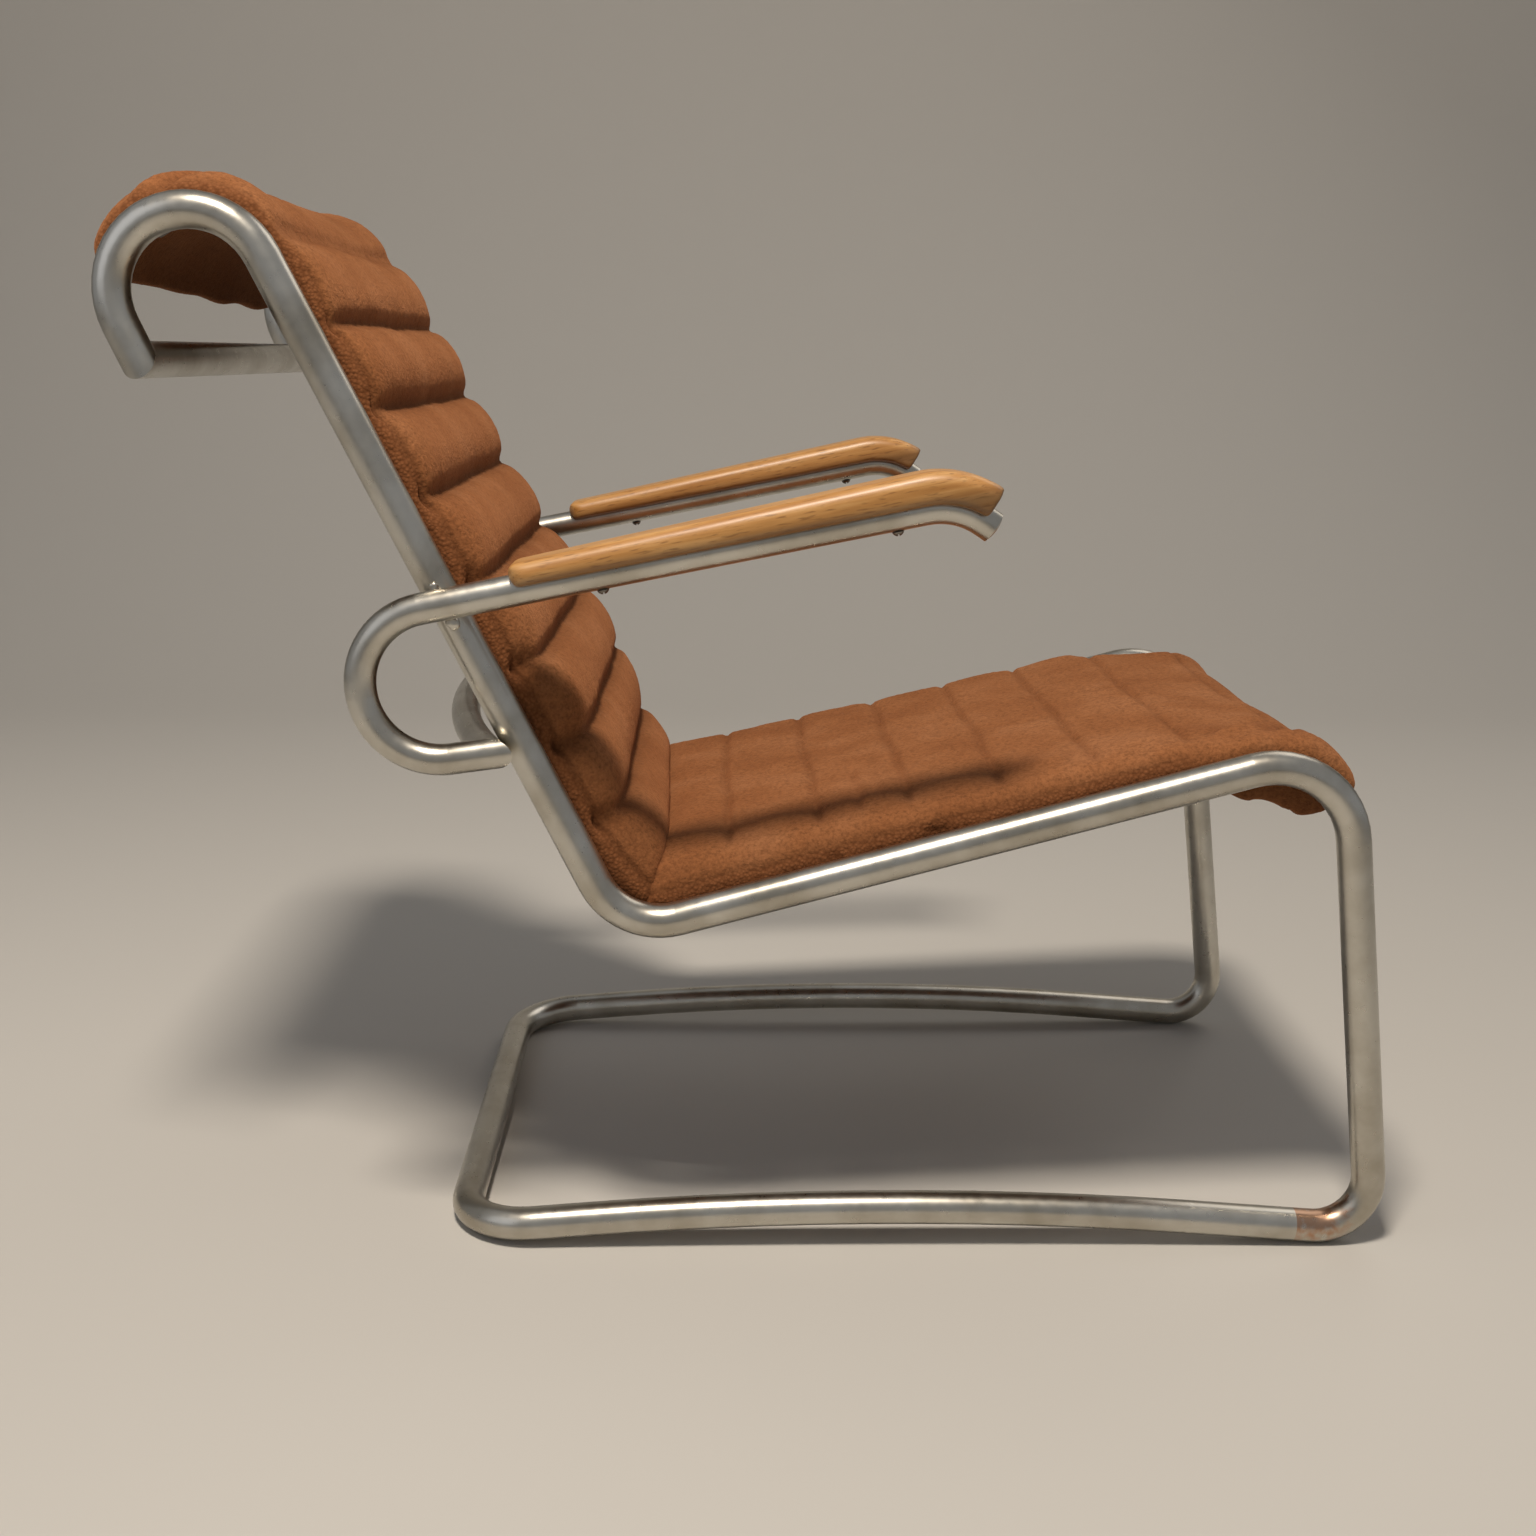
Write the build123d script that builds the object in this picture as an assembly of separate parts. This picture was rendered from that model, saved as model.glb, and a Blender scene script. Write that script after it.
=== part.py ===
from build123d import *
from math import asin, cos, degrees, radians, sin, sqrt, tan
import os

# Easy chair: a cantilever frame of bent steel tube, wooden armrests and channelled plush pads.
# +X is the way the chair faces, +Y its left side, +Z up. Millimetres and degrees.

# Frame tube
TUBE_D = 25.0
TUBE_WALL = 2.0
FRAME_SPAN = 450.0        # between the axes of the two side tubes
FLOOR_WEAR = 0.3          # depth of the flat that the floor has worn under the rear tube

# Side view of the frame, on the tube's axis, with x counted from the rear floor tube
SEAT_CORNER_X = 124.0     # where the seat's line meets the back's
SEAT_CORNER_Z = 247.0
SEAT_LENGTH = 541.0       # from that corner to the front corner
SEAT_SLOPE = 15.2         # the seat rises towards the front
BACK_LENGTH = 524.0       # from the seat corner to the start of the head hook
BACK_SLOPE = 63.6         # the back's line against the floor
HOOK_R = 53.0
HOOK_TURN = 178.0
HOOK_TAIL = 24.0          # straight end of the hook, up to the head cross tube
SEAT_BEND_R = 52.0
FRONT_BEND_R = 62.0
LEG_LEAN = 7.4            # the foot stands forward of the knee
TOE_BEND_R = 38.0
RAIL_SLOPE = 4.5          # the floor rails rise from both ends to a bowed middle
RAIL_STRAIGHT = 100.0     # straight stretch before the bow, from the rear corner
REAR_BEND_R = 55.0
JOINT_STRAIGHT = 15.0     # straight tube on each side of the joint behind the toe bend
PLUG_CLEARANCE = 0.1

# Arm tube
ARM_D = 22.0
ARM_WALL = 1.5
ARM_CLEARANCE = 0.2       # between an arm and the tube that it is brazed to
ARM_CROSSING_HEIGHT = 270.0   # up the back tube from the seat corner
ARM_SLOPE = 11.6
ARM_STRAIGHT = 336.0      # from the crossing to the front bend
ARM_BEHIND = 14.0         # from the crossing back to the loop
ARM_LOOP_R = 53.0
ARM_LOWER_SLOPE = 8.0
ARM_NOSE_R = 53.0
ARM_NOSE_TURN = 45.0
ARM_NOSE_STRAIGHT = 8.0
ARM_CROSS_BOW = 45.0      # the cross tube bows rearward, clear of the sitter's back
CAP_DOME = 2.5
CAP_DEPTH = 6.0

# Wooden armrest
REST_WIDTH = 44.0
REST_START = 57.0         # from the crossing to the rounded rear end
REST_REAR_THICK = 16.5
REST_FRONT_THICK = 22.5
REST_NOSE_TURN = 43.0     # the wood follows the tube's front bend and stops just before its end
REST_REAR_ROUND = 6.0     # bulge of the rear end
REST_CORNER_R = 14.0      # rear corners, seen from above
REST_TOP_EDGE_R = 9.5
REST_LOWER_EDGE_R = 5.0
REST_GROOVE = 8.0         # depth that the tube lies in the wood
REST_CLEARANCE = 0.1
REST_SCREW_PLACES = (111.0, 315.0)    # from the crossing, along the arm
SCREW_D = 4.2
SCREW_HEAD_D = 8.5
SCREW_HEAD_H = 3.2
SCREW_SLOT = 1.2
SCREW_BITE = 6.0          # length in the wood over the tube
SCREW_CLEARANCE = 0.15

# Pads: heights are measured square to the tube's axis, at mid-width unless they are named for the sides
PAD_SIDE_GAP = 0.3
PAD_CREASE_GAP = 0.3      # between the two pads
PAD_BOTTOM = -3.0
PAD_SIDE_RISE = 2.0       # rise of the underside along the sides
PAD_SIDE_TOP = 15.0       # height along the sides
PAD_SIDE_SWELL = 0.5      # share of a roll's swell that is left along the sides
PAD_EDGE_WIDTH = 5.0      # from a side to the steep part of the rounded edge
PAD_EDGE_FULL = 0.62      # how full the pad is there
PAD_SHOULDER_WIDTH = 20.0
PAD_SHOULDER_FULL = 0.93
PAD_FLANK_WIDTH = 75.0    # from a side to the flat middle
PAD_FLANK_LIFT = 0.25     # share of the sides' lift that is left there
PAD_CREASE_TOP = 42.0     # where the two pads meet
BACK_SEAMS = (78.0, 140.0, 204.0, 271.0, 338.0, 404.0, 468.0)    # up the back from the seat corner
BACK_SEAM_TOPS = (39.0, 45.0, 41.0, 33.0, 25.5, 23.0, 23.0)
BACK_SWELLS = (4.0, 4.0, 5.0, 6.0, 7.5, 8.5, 8.5, 7.5)   # of the rolls, from the crease upward
HEAD_SEAM_TURN = 10.0     # highest seam, past the start of the hook
HEAD_SEAM_TOP = 17.5
HEAD_TOP = 20.0           # sagged at mid-width
HEAD_SIDE_LIFT = 6.5      # the head is fuller near the sides
HEAD_END_TOP = 23.0
HEAD_END_TURN = 130.0     # end of the pad's top on the hook, past the hook's start
HEAD_FLAP_TURN = 148.0    # end of the pad's underside there
HEAD_END_BULGE = 4.0
SEAT_FIRST_SEAM = 90.0    # forward from the seat corner
SEAT_ROLL_COUNT = 6       # equal rolls between the rear one and the front one
SEAT_REAR_TOP = 37.5      # at the first seam
SEAT_FRONT_TOP = 25.0     # at the last seam before the front bend
SEAT_SWELL = 3.0
NOSE_SEAM_TURN = 34.0     # seam of the front roll, past the start of the bend
NOSE_SEAM_TOP = 17.0
NOSE_TOP = 18.0           # the front roll, over the front bend
NOSE_SIDE_LIFT = 9.0      # the front roll is fuller near the sides
NOSE_BOTTOM = -27.0
NOSE_FLAT = 15.0          # underside of full depth behind the bend
NOSE_RUN_IN = 40.0        # over which the underside falls to the front roll
NOSE_END_TURN = 82.0
NOSE_SIDE_SHORT = 10.0    # the roll ends that much earlier near the sides
NOSE_END_FALL = 3.0
NOSE_END_SLANT = 8.0      # the underside turns further than the top
NOSE_BULGE = 5.0

# Webbing straps below the pads, with steel ends pinned into the tubes
STRAP_WIDTH = 40.0
STRAP_THICK = 2.0
STRAP_GAP = 0.3           # below the pad
STRAP_END = 20.0          # from the tube's axis to the strap's end
SEAT_STRAP_COUNT = 5
SEAT_STRAP_START = 80.0   # from the seat corner to the middle of the first strap
SEAT_STRAP_STOP = 4.0     # from the last strap's edge to the fall of the pad's underside
BACK_STRAP_COUNT = 6
BACK_STRAP_START = 72.0
BACK_STRAP_STOP = 18.0    # from the last strap's edge to the start of the hook
HEAD_STRAP_TURNS = (40.0, 95.0)       # past the start of the hook
CLIP_LENGTH = 14.0        # overlap with the strap
CLIP_WIDTH = 30.0
CLIP_THICK = 1.5
PIN_D = 3.5
PIN_REACH = 5.0           # from the tube's axis to the pin's end
PIN_CLEARANCE = 0.2

HALF_SPAN = FRAME_SPAN / 2
TUBE_R = TUBE_D / 2
ARM_R = ARM_D / 2
RIGHT, LEFT = -1, 1


def heading(angle):
    """Unit vector in the side view, counted up from forward."""
    return Vector(cos(radians(angle)), 0, sin(radians(angle)))


def at_y(point, y):
    return Vector(point.X, y, point.Z)


# Points and directions of the side view
seat_corner = Vector(SEAT_CORNER_X, 0, SEAT_CORNER_Z)
along_seat = heading(SEAT_SLOPE)
above_seat = heading(SEAT_SLOPE + 90)
along_back = heading(180 - BACK_SLOPE)
before_back = heading(90 - BACK_SLOPE)
front_corner = seat_corner + along_seat * SEAT_LENGTH

# Head hook
hook_start_angle = 90 - BACK_SLOPE
hook_end_angle = hook_start_angle + HOOK_TURN
hook_start = seat_corner + along_back * BACK_LENGTH
hook_centre = hook_start - before_back * HOOK_R
hook_end_heading = heading(hook_end_angle + 90)
head_corner = hook_centre + heading(hook_end_angle) * HOOK_R + hook_end_heading * HOOK_TAIL

# Seat bend: half of the inner angle, and the bend's centre on the line that halves it
seat_half_angle = (180 - BACK_SLOPE - SEAT_SLOPE) / 2
seat_halving_angle = SEAT_SLOPE + seat_half_angle
seat_bend_centre = seat_corner + heading(seat_halving_angle) * (SEAT_BEND_R / sin(radians(seat_half_angle)))

# Front bend
front_half_angle = (90 - SEAT_SLOPE + LEG_LEAN) / 2
front_halving_angle = SEAT_SLOPE + 180 + front_half_angle
front_tangent = FRONT_BEND_R / tan(radians(front_half_angle))
front_setback = FRONT_BEND_R / sin(radians(front_half_angle))
front_bend_centre = front_corner + heading(front_halving_angle) * front_setback

# Toe bend: it touches the floor, and the leg's and the rail's lines meet at the toe corner
rail_to_rear = heading(180 - RAIL_SLOPE)
toe_half_angle = (90 - RAIL_SLOPE - LEG_LEAN) / 2
toe_halving_angle = 90 + LEG_LEAN + toe_half_angle
toe_tangent = TOE_BEND_R / tan(radians(toe_half_angle))
toe_z = TUBE_R + TOE_BEND_R - TOE_BEND_R / sin(radians(toe_half_angle)) * sin(radians(toe_halving_angle))
toe_corner = Vector(front_corner.X + (front_corner.Z - toe_z) * tan(radians(LEG_LEAN)), 0, toe_z)
joint = toe_corner + rail_to_rear * (toe_tangent + JOINT_STRAIGHT)

# Floor rail: two straight ends that meet in a long bow
rear_corner = Vector(0, 0, TUBE_R - FLOOR_WEAR)
rail_rise = tan(radians(RAIL_SLOPE))
crest_x = (rear_corner.X + toe_corner.X + (toe_corner.Z - rear_corner.Z) / rail_rise) / 2
rail_crest = Vector(crest_x, 0, rear_corner.Z + (crest_x - rear_corner.X) * rail_rise)
rail_bow_r = ((rail_crest - rear_corner).length - RAIL_STRAIGHT) / rail_rise

# Arm, in a plane just outside the side tube
ARM_Y = HALF_SPAN + TUBE_R + ARM_R + ARM_CLEARANCE
along_arm = heading(ARM_SLOPE)
above_arm = heading(ARM_SLOPE + 90)
arm_crossing = seat_corner + along_back * ARM_CROSSING_HEIGHT
arm_front = arm_crossing + along_arm * ARM_STRAIGHT
arm_nose_centre = arm_front - above_arm * ARM_NOSE_R
nose_end_angle = ARM_SLOPE + 90 - ARM_NOSE_TURN
nose_heading = heading(nose_end_angle - 90)
arm_tip = arm_nose_centre + heading(nose_end_angle) * ARM_NOSE_R + nose_heading * ARM_NOSE_STRAIGHT
loop_top = arm_crossing - along_arm * ARM_BEHIND
loop_centre = loop_top - above_arm * ARM_LOOP_R
loop_start_angle = ARM_SLOPE + 90
loop_end_angle = 270 + ARM_LOWER_SLOPE
lower_heading = heading(ARM_LOWER_SLOPE)
loop_bottom = loop_centre + heading(loop_end_angle) * ARM_LOOP_R

# Cross tube of the arms: an arc in plan that passes just behind both back tubes
cross_r = (ARM_Y ** 2 + ARM_CROSS_BOW ** 2) / (2 * ARM_CROSS_BOW)
cross_setback = sqrt(cross_r ** 2 - HALF_SPAN ** 2) - (cross_r - ARM_CROSS_BOW)
cross_lean = asin(HALF_SPAN / cross_r)
back_sin, back_cos = sin(radians(BACK_SLOPE)), cos(radians(BACK_SLOPE))
skew = sqrt(back_sin ** 2 + (back_cos * cos(cross_lean)) ** 2) / cos(cross_lean)
cross_behind = (TUBE_R + ARM_R + ARM_CLEARANCE) * skew
lower_start = loop_bottom - Vector(cross_setback, 0, 0) - seat_corner
lower_run = (-cross_behind - lower_start.dot(before_back)) / lower_heading.dot(before_back)
lower_end = loop_bottom + lower_heading * lower_run
cross_end_angle = degrees(asin(ARM_Y / cross_r))
cross_heading = Vector(-sin(radians(cross_end_angle)), cos(radians(cross_end_angle)), 0)


def arc(centre, radius, first, last, y):
    """Arc in the side view, from one angle to another."""
    angles = (first, (first + last) / 2, last)
    return ThreePointArc(*[at_y(centre + heading(a) * radius, y) for a in angles])


def halved_arc(centre, radius, first, last, y):
    middle = (first + last) / 2
    return [arc(centre, radius, first, middle, y), arc(centre, radius, middle, last, y)]


def joined(*pieces):
    """One wire from lines and curves that follow each other."""
    edges = []
    for piece in pieces:
        edges += piece.edges()
    return Wire(edges)


def tube(path, diameter, wall):
    start = Plane(origin=path @ 0, z_dir=path % 0)
    ring = Circle(diameter / 2) - Circle(diameter / 2 - wall)
    return sweep(start * ring, path=path)


def rod(path, diameter):
    start = Plane(origin=path @ 0, z_dir=path % 0)
    return sweep(start * Circle(diameter / 2), path=path)


def mitred(solid, corner, arriving, leaving, diameter):
    """Cuts a tube's end where it arrives at a mitred corner."""
    size = 3 * diameter
    waste = Plane(origin=corner, z_dir=arriving + leaving) * Box(
        size, size, size, align=(Align.CENTER, Align.CENTER, Align.MIN)
    )
    return solid - waste


def pair(right_solid):
    """The right-hand piece and its mirrored left-hand twin."""
    return right_solid, mirror(right_solid, about=Plane.XZ)


def crosswise(point, y_from, y_to, diameter):
    """Round bar along Y."""
    start = Plane(origin=at_y(point, y_from), z_dir=(0, y_to - y_from, 0))
    return extrude(start * Circle(diameter / 2), abs(y_to - y_from))


# Straps and their pins

strap_offset = PAD_BOTTOM - STRAP_GAP - STRAP_THICK / 2
clip_offset = strap_offset - STRAP_THICK / 2 - CLIP_THICK / 2
seat_strap_last = SEAT_LENGTH - front_tangent - NOSE_RUN_IN - SEAT_STRAP_STOP - STRAP_WIDTH / 2
seat_strap_pitch = (seat_strap_last - SEAT_STRAP_START) / (SEAT_STRAP_COUNT - 1)
back_strap_last = BACK_LENGTH - BACK_STRAP_STOP - STRAP_WIDTH / 2
back_strap_pitch = (back_strap_last - BACK_STRAP_START) / (BACK_STRAP_COUNT - 1)


def strap_places():
    """For each strap: name, foot on the tube's axis, angle towards the pad, radius of the bend if any."""
    places = []
    for i in range(SEAT_STRAP_COUNT):
        foot = seat_corner + along_seat * (SEAT_STRAP_START + i * seat_strap_pitch)
        places.append((f"seat_strap_{i + 1}", foot, SEAT_SLOPE + 90, None))
    for i in range(BACK_STRAP_COUNT):
        foot = seat_corner + along_back * (BACK_STRAP_START + i * back_strap_pitch)
        places.append((f"back_strap_{i + 1}", foot, hook_start_angle, None))
    for i, turn in enumerate(HEAD_STRAP_TURNS):
        angle = hook_start_angle + turn
        foot = hook_centre + heading(angle) * HOOK_R
        places.append((f"head_strap_{i + 1}", foot, angle, HOOK_R))
    return places


def facing(point, pad_angle):
    """Plane whose Z points at the pad and whose X runs across the chair."""
    return Plane(origin=point, x_dir=(0, 1, 0), z_dir=heading(pad_angle))


def strap(foot, pad_angle, bend_r):
    length = 2 * (HALF_SPAN - STRAP_END)
    if bend_r is None:
        middle = foot + heading(pad_angle) * strap_offset
        return facing(middle, pad_angle) * Box(length, STRAP_WIDTH, STRAP_THICK)
    radius = bend_r + strap_offset
    half_turn = degrees(STRAP_WIDTH / 2 / radius)
    y = -length / 2
    inner = arc(hook_centre, radius - STRAP_THICK / 2, pad_angle - half_turn, pad_angle + half_turn, y)
    outer = arc(hook_centre, radius + STRAP_THICK / 2, pad_angle - half_turn, pad_angle + half_turn, y)
    outline = joined(inner, Line(inner @ 1, outer @ 1), outer, Line(outer @ 0, inner @ 0))
    return extrude(Face(outline), length, dir=(0, 1, 0))


def clip_drop(bend_r):
    """A flat clip under a curved strap lies lower by the strap's hollow."""
    if bend_r is None:
        return 0.0
    radius = bend_r + strap_offset - STRAP_THICK / 2
    return radius - sqrt(radius ** 2 - (clip_width(bend_r) / 2) ** 2)


def clip_width(bend_r):
    return CLIP_WIDTH if bend_r is None else CLIP_WIDTH / 3


def pin_point(foot, pad_angle, bend_r):
    return foot + heading(pad_angle) * (clip_offset - clip_drop(bend_r))


def clip(foot, pad_angle, bend_r, side):
    point = pin_point(foot, pad_angle, bend_r)
    inner_y = HALF_SPAN - STRAP_END - CLIP_LENGTH
    chord = sqrt(TUBE_R ** 2 - clip_offset ** 2)
    outer_y = HALF_SPAN - chord - CLIP_THICK
    middle = at_y(point, side * (inner_y + outer_y) / 2)
    plate = facing(middle, pad_angle) * Box(outer_y - inner_y, clip_width(bend_r), CLIP_THICK)
    pin = crosswise(point, side * (outer_y - CLIP_THICK), side * (HALF_SPAN - PIN_REACH), PIN_D)
    return plate + pin


def pin_holes(side):
    y_from, y_to = side * (HALF_SPAN - TUBE_D), side * (HALF_SPAN - PIN_REACH + 1)
    hole_d = PIN_D + 2 * PIN_CLEARANCE
    points = [pin_point(foot, angle, bend_r) for _, foot, angle, bend_r in strap_places()]
    return [crosswise(point, y_from, y_to, hole_d) for point in points]


# Frame

def side_tube():
    y = RIGHT * HALF_SPAN
    hook = halved_arc(hook_centre, HOOK_R, hook_end_angle, hook_start_angle, y)
    corner = at_y(head_corner, y)
    tail = Line(corner + hook_end_heading * TUBE_D, hook[0] @ 0)
    rest = FilletPolyline(
        [at_y(p, y) for p in (hook_start, seat_corner, front_corner, toe_corner, joint)],
        radius=[SEAT_BEND_R, FRONT_BEND_R, TOE_BEND_R],
    )
    path = joined(tail, *hook, rest)
    solid = mitred(tube(path, TUBE_D, TUBE_WALL), corner, hook_end_heading, Vector(0, 1, 0), TUBE_D)
    return solid - pin_holes(RIGHT)


def floor_tube():
    right = [at_y(p, RIGHT * HALF_SPAN) for p in (joint, rail_crest, rear_corner)]
    left = [at_y(p, LEFT * HALF_SPAN) for p in (rear_corner, rail_crest, joint)]
    path = FilletPolyline(right + left, radius=[rail_bow_r, REAR_BEND_R, REAR_BEND_R, rail_bow_r])
    solid = tube(Wire(path.edges()), TUBE_D, TUBE_WALL)
    floor = Pos(rear_corner.X, 0, 0) * Box(
        4 * REAR_BEND_R, FRAME_SPAN + 2 * TUBE_D, TUBE_D, align=(Align.CENTER, Align.CENTER, Align.MAX)
    )
    return solid - floor


def joint_plug():
    bore_r = TUBE_R - TUBE_WALL
    middle = Plane(origin=at_y(joint, RIGHT * HALF_SPAN), z_dir=rail_to_rear)
    return middle * Cylinder(bore_r - PLUG_CLEARANCE, 2 * JOINT_STRAIGHT - 2)


def head_cross_tube():
    reach = HALF_SPAN + TUBE_D
    path = Line(at_y(head_corner, -reach), at_y(head_corner, reach))
    solid = tube(Wire(path.edges()), TUBE_D, TUBE_WALL)
    for side in (RIGHT, LEFT):
        corner = at_y(head_corner, side * HALF_SPAN)
        solid = mitred(solid, corner, Vector(0, side, 0), -hook_end_heading, TUBE_D)
    return solid


# Arms

def arm_path(y, spare):
    """From the front tip back, round the loop and along the lower run, with spare length for the mitre."""
    nose = arc(arm_nose_centre, ARM_NOSE_R, nose_end_angle, ARM_SLOPE + 90, y)
    loop = halved_arc(loop_centre, ARM_LOOP_R, loop_start_angle, loop_end_angle, y)
    return joined(
        Line(at_y(arm_tip, y), nose @ 0),
        nose,
        Line(nose @ 1, loop[0] @ 0),
        *loop,
        Line(loop[1] @ 1, at_y(lower_end + lower_heading * spare, y)),
    )


def screw_axis(place):
    """Line of an armrest screw, from below the arm up into the wood."""
    return Plane(origin=at_y(arm_crossing + along_arm * place, RIGHT * ARM_Y), z_dir=above_arm)


def screw_bore(place, diameter, length):
    return screw_axis(place) * Pos(0, 0, -ARM_D) * extrude(Circle(diameter / 2), ARM_D + length)


def arm_tube():
    solid = tube(arm_path(RIGHT * ARM_Y, ARM_D), ARM_D, ARM_WALL)
    solid = mitred(solid, at_y(lower_end, RIGHT * ARM_Y), lower_heading, cross_heading, ARM_D)
    bores = [screw_bore(p, SCREW_D + 2 * SCREW_CLEARANCE, ARM_D) for p in REST_SCREW_PLACES]
    return solid - bores


def arm_cross_tube():
    right_end, left_end = at_y(lower_end, -ARM_Y), at_y(lower_end, ARM_Y)
    back_heading = Vector(cross_heading.X, -cross_heading.Y, 0)
    middle = lower_end - Vector(ARM_CROSS_BOW, 0, 0)
    path = joined(
        Line(right_end - cross_heading * ARM_D, right_end),
        ThreePointArc(right_end, middle, left_end),
        Line(left_end, left_end - back_heading * ARM_D),
    )
    solid = tube(path, ARM_D, ARM_WALL)
    solid = mitred(solid, right_end, -cross_heading, -lower_heading, ARM_D)
    return mitred(solid, left_end, -back_heading, -lower_heading, ARM_D)


def arm_end_cap():
    """Plug with a low domed head."""
    plug_r = ARM_R - ARM_WALL - PLUG_CLEARANCE
    dome_r = (ARM_R ** 2 + CAP_DOME ** 2) / (2 * CAP_DOME)
    rim = (ARM_R, 0)
    crown = (0, CAP_DOME)
    half_way = asin(ARM_R / dome_r) / 2
    bulge = (dome_r * sin(half_way), CAP_DOME - dome_r * (1 - cos(half_way)))
    outline = joined(
        Line((0, -CAP_DEPTH), (plug_r, -CAP_DEPTH)),
        Line((plug_r, -CAP_DEPTH), (plug_r, 0)),
        Line((plug_r, 0), rim),
        ThreePointArc(rim, bulge, crown),
        Line(crown, (0, -CAP_DEPTH)),
    )
    head = revolve(Plane.XZ * Face(outline), Axis.Z)
    return Plane(origin=at_y(arm_tip, RIGHT * ARM_Y), z_dir=nose_heading) * head


# Armrests

def rest_plan():
    """Block with the armrest's outline from above, with rounded rear corners."""
    length = 2 * ARM_STRAIGHT
    rear = REST_START - REST_REAR_ROUND
    over = Plane(origin=at_y(arm_crossing, RIGHT * ARM_Y), x_dir=along_arm, z_dir=above_arm)
    outline = Pos(rear + length / 2, 0) * RectangleRounded(length, REST_WIDTH, REST_CORNER_R)
    return over * extrude(outline, 4 * REST_WIDTH, both=True)


def armrest():
    y = RIGHT * ARM_Y - REST_WIDTH / 2
    seat = ARM_R - REST_GROOVE

    def over_arm(place, height):
        return at_y(arm_crossing + along_arm * place + above_arm * height, y)

    rear_bottom = over_arm(REST_START, seat)
    rear_top = over_arm(REST_START, seat + REST_REAR_THICK)
    rear_bulge = over_arm(REST_START - REST_REAR_ROUND, seat + REST_REAR_THICK / 2)
    front_top = over_arm(ARM_STRAIGHT, seat + REST_FRONT_THICK)
    end_angle = ARM_SLOPE + 90 - REST_NOSE_TURN
    below = arc(arm_nose_centre, ARM_NOSE_R + seat, ARM_SLOPE + 90, end_angle, y)
    above = arc(arm_nose_centre, ARM_NOSE_R + seat + REST_FRONT_THICK, ARM_SLOPE + 90, end_angle, y)
    bottom = Line(rear_bottom, below @ 0)
    top = Line(front_top, rear_top)
    outline = joined(
        bottom,
        below,
        Line(below @ 1, above @ 1),
        above,
        top,
        ThreePointArc(rear_top, rear_bulge, rear_bottom),
    )
    wood = extrude(Face(outline), REST_WIDTH, dir=(0, 1, 0))

    def on_curve(edge, curve):
        return (at_y(edge @ 0.5, y) - curve @ 0.5).length < 0.01

    upper = [e for e in wood.edges() if on_curve(e, above) or on_curve(e, top)]
    wood = fillet(upper, REST_TOP_EDGE_R)
    lower = [e for e in wood.edges() if on_curve(e, below) or on_curve(e, bottom)]
    wood = fillet(lower, REST_LOWER_EDGE_R)
    wood &= rest_plan()
    wood -= rod(arm_path(RIGHT * ARM_Y, 0), ARM_D + 2 * REST_CLEARANCE)
    pilot_length = ARM_R + SCREW_BITE + SCREW_CLEARANCE
    return wood - [screw_bore(p, SCREW_D + 2 * SCREW_CLEARANCE, pilot_length) for p in REST_SCREW_PLACES]


def armrest_screw(place):
    """Round head below the arm, shank through the tube into the wood."""
    half_head = SCREW_HEAD_D / 2
    shank = extrude(Circle(SCREW_D / 2), ARM_D + SCREW_BITE)
    head_r = (half_head ** 2 + SCREW_HEAD_H ** 2) / (2 * SCREW_HEAD_H)
    ball = Pos(0, 0, head_r - SCREW_HEAD_H) * Sphere(head_r)
    above = Box(4 * head_r, 4 * head_r, 4 * head_r, align=(Align.CENTER, Align.CENTER, Align.MIN))
    slot = Pos(0, 0, -SCREW_HEAD_H) * Box(SCREW_SLOT, SCREW_HEAD_D, SCREW_HEAD_H)
    return screw_axis(place) * Pos(0, 0, -ARM_R - SCREW_CLEARANCE) * (shank + (ball - above) - slot)


# Pads: side outlines at several widths, joined across the chair

def pad_sections():
    """Place across the chair, how full the pad is there, and its share of the sides' lift."""
    half = HALF_SPAN - TUBE_R - PAD_SIDE_GAP
    edge, shoulder = half - PAD_EDGE_WIDTH, half - PAD_SHOULDER_WIDTH
    flank = half - PAD_FLANK_WIDTH
    right = [(-half, 0.0, 1), (-edge, PAD_EDGE_FULL, 1), (-shoulder, PAD_SHOULDER_FULL, 1),
             (-flank, 1.0, PAD_FLANK_LIFT)]
    left = [(-y, full, lift) for y, full, lift in reversed(right)]
    return right + [(0.0, 1.0, 0)] + left


def pad_top(height, full):
    """Height at a section, from the height that a full pad has."""
    return PAD_SIDE_TOP + (height - PAD_SIDE_TOP) * full


def pad_swell(swell, full):
    return swell * (PAD_SIDE_SWELL + (1 - PAD_SIDE_SWELL) * full)


def scallops(seams, swells, full, side):
    """Arcs from seam to seam, swollen to the left (1) or the right (-1) of that way in the side view."""
    arcs = []
    for start, end, swell in zip(seams, seams[1:], swells):
        way = (end - start).normalized()
        out = Vector(-way.Z, 0, way.X) * side
        arcs.append(ThreePointArc(start, (start + end) / 2 + out * pad_swell(swell, full), end))
    return arcs


def crease_point(height, along, above):
    """Point of a pad's top where the two pads meet."""
    return seat_corner + along * (height / tan(radians(seat_half_angle)) + PAD_CREASE_GAP) + above * height


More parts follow.
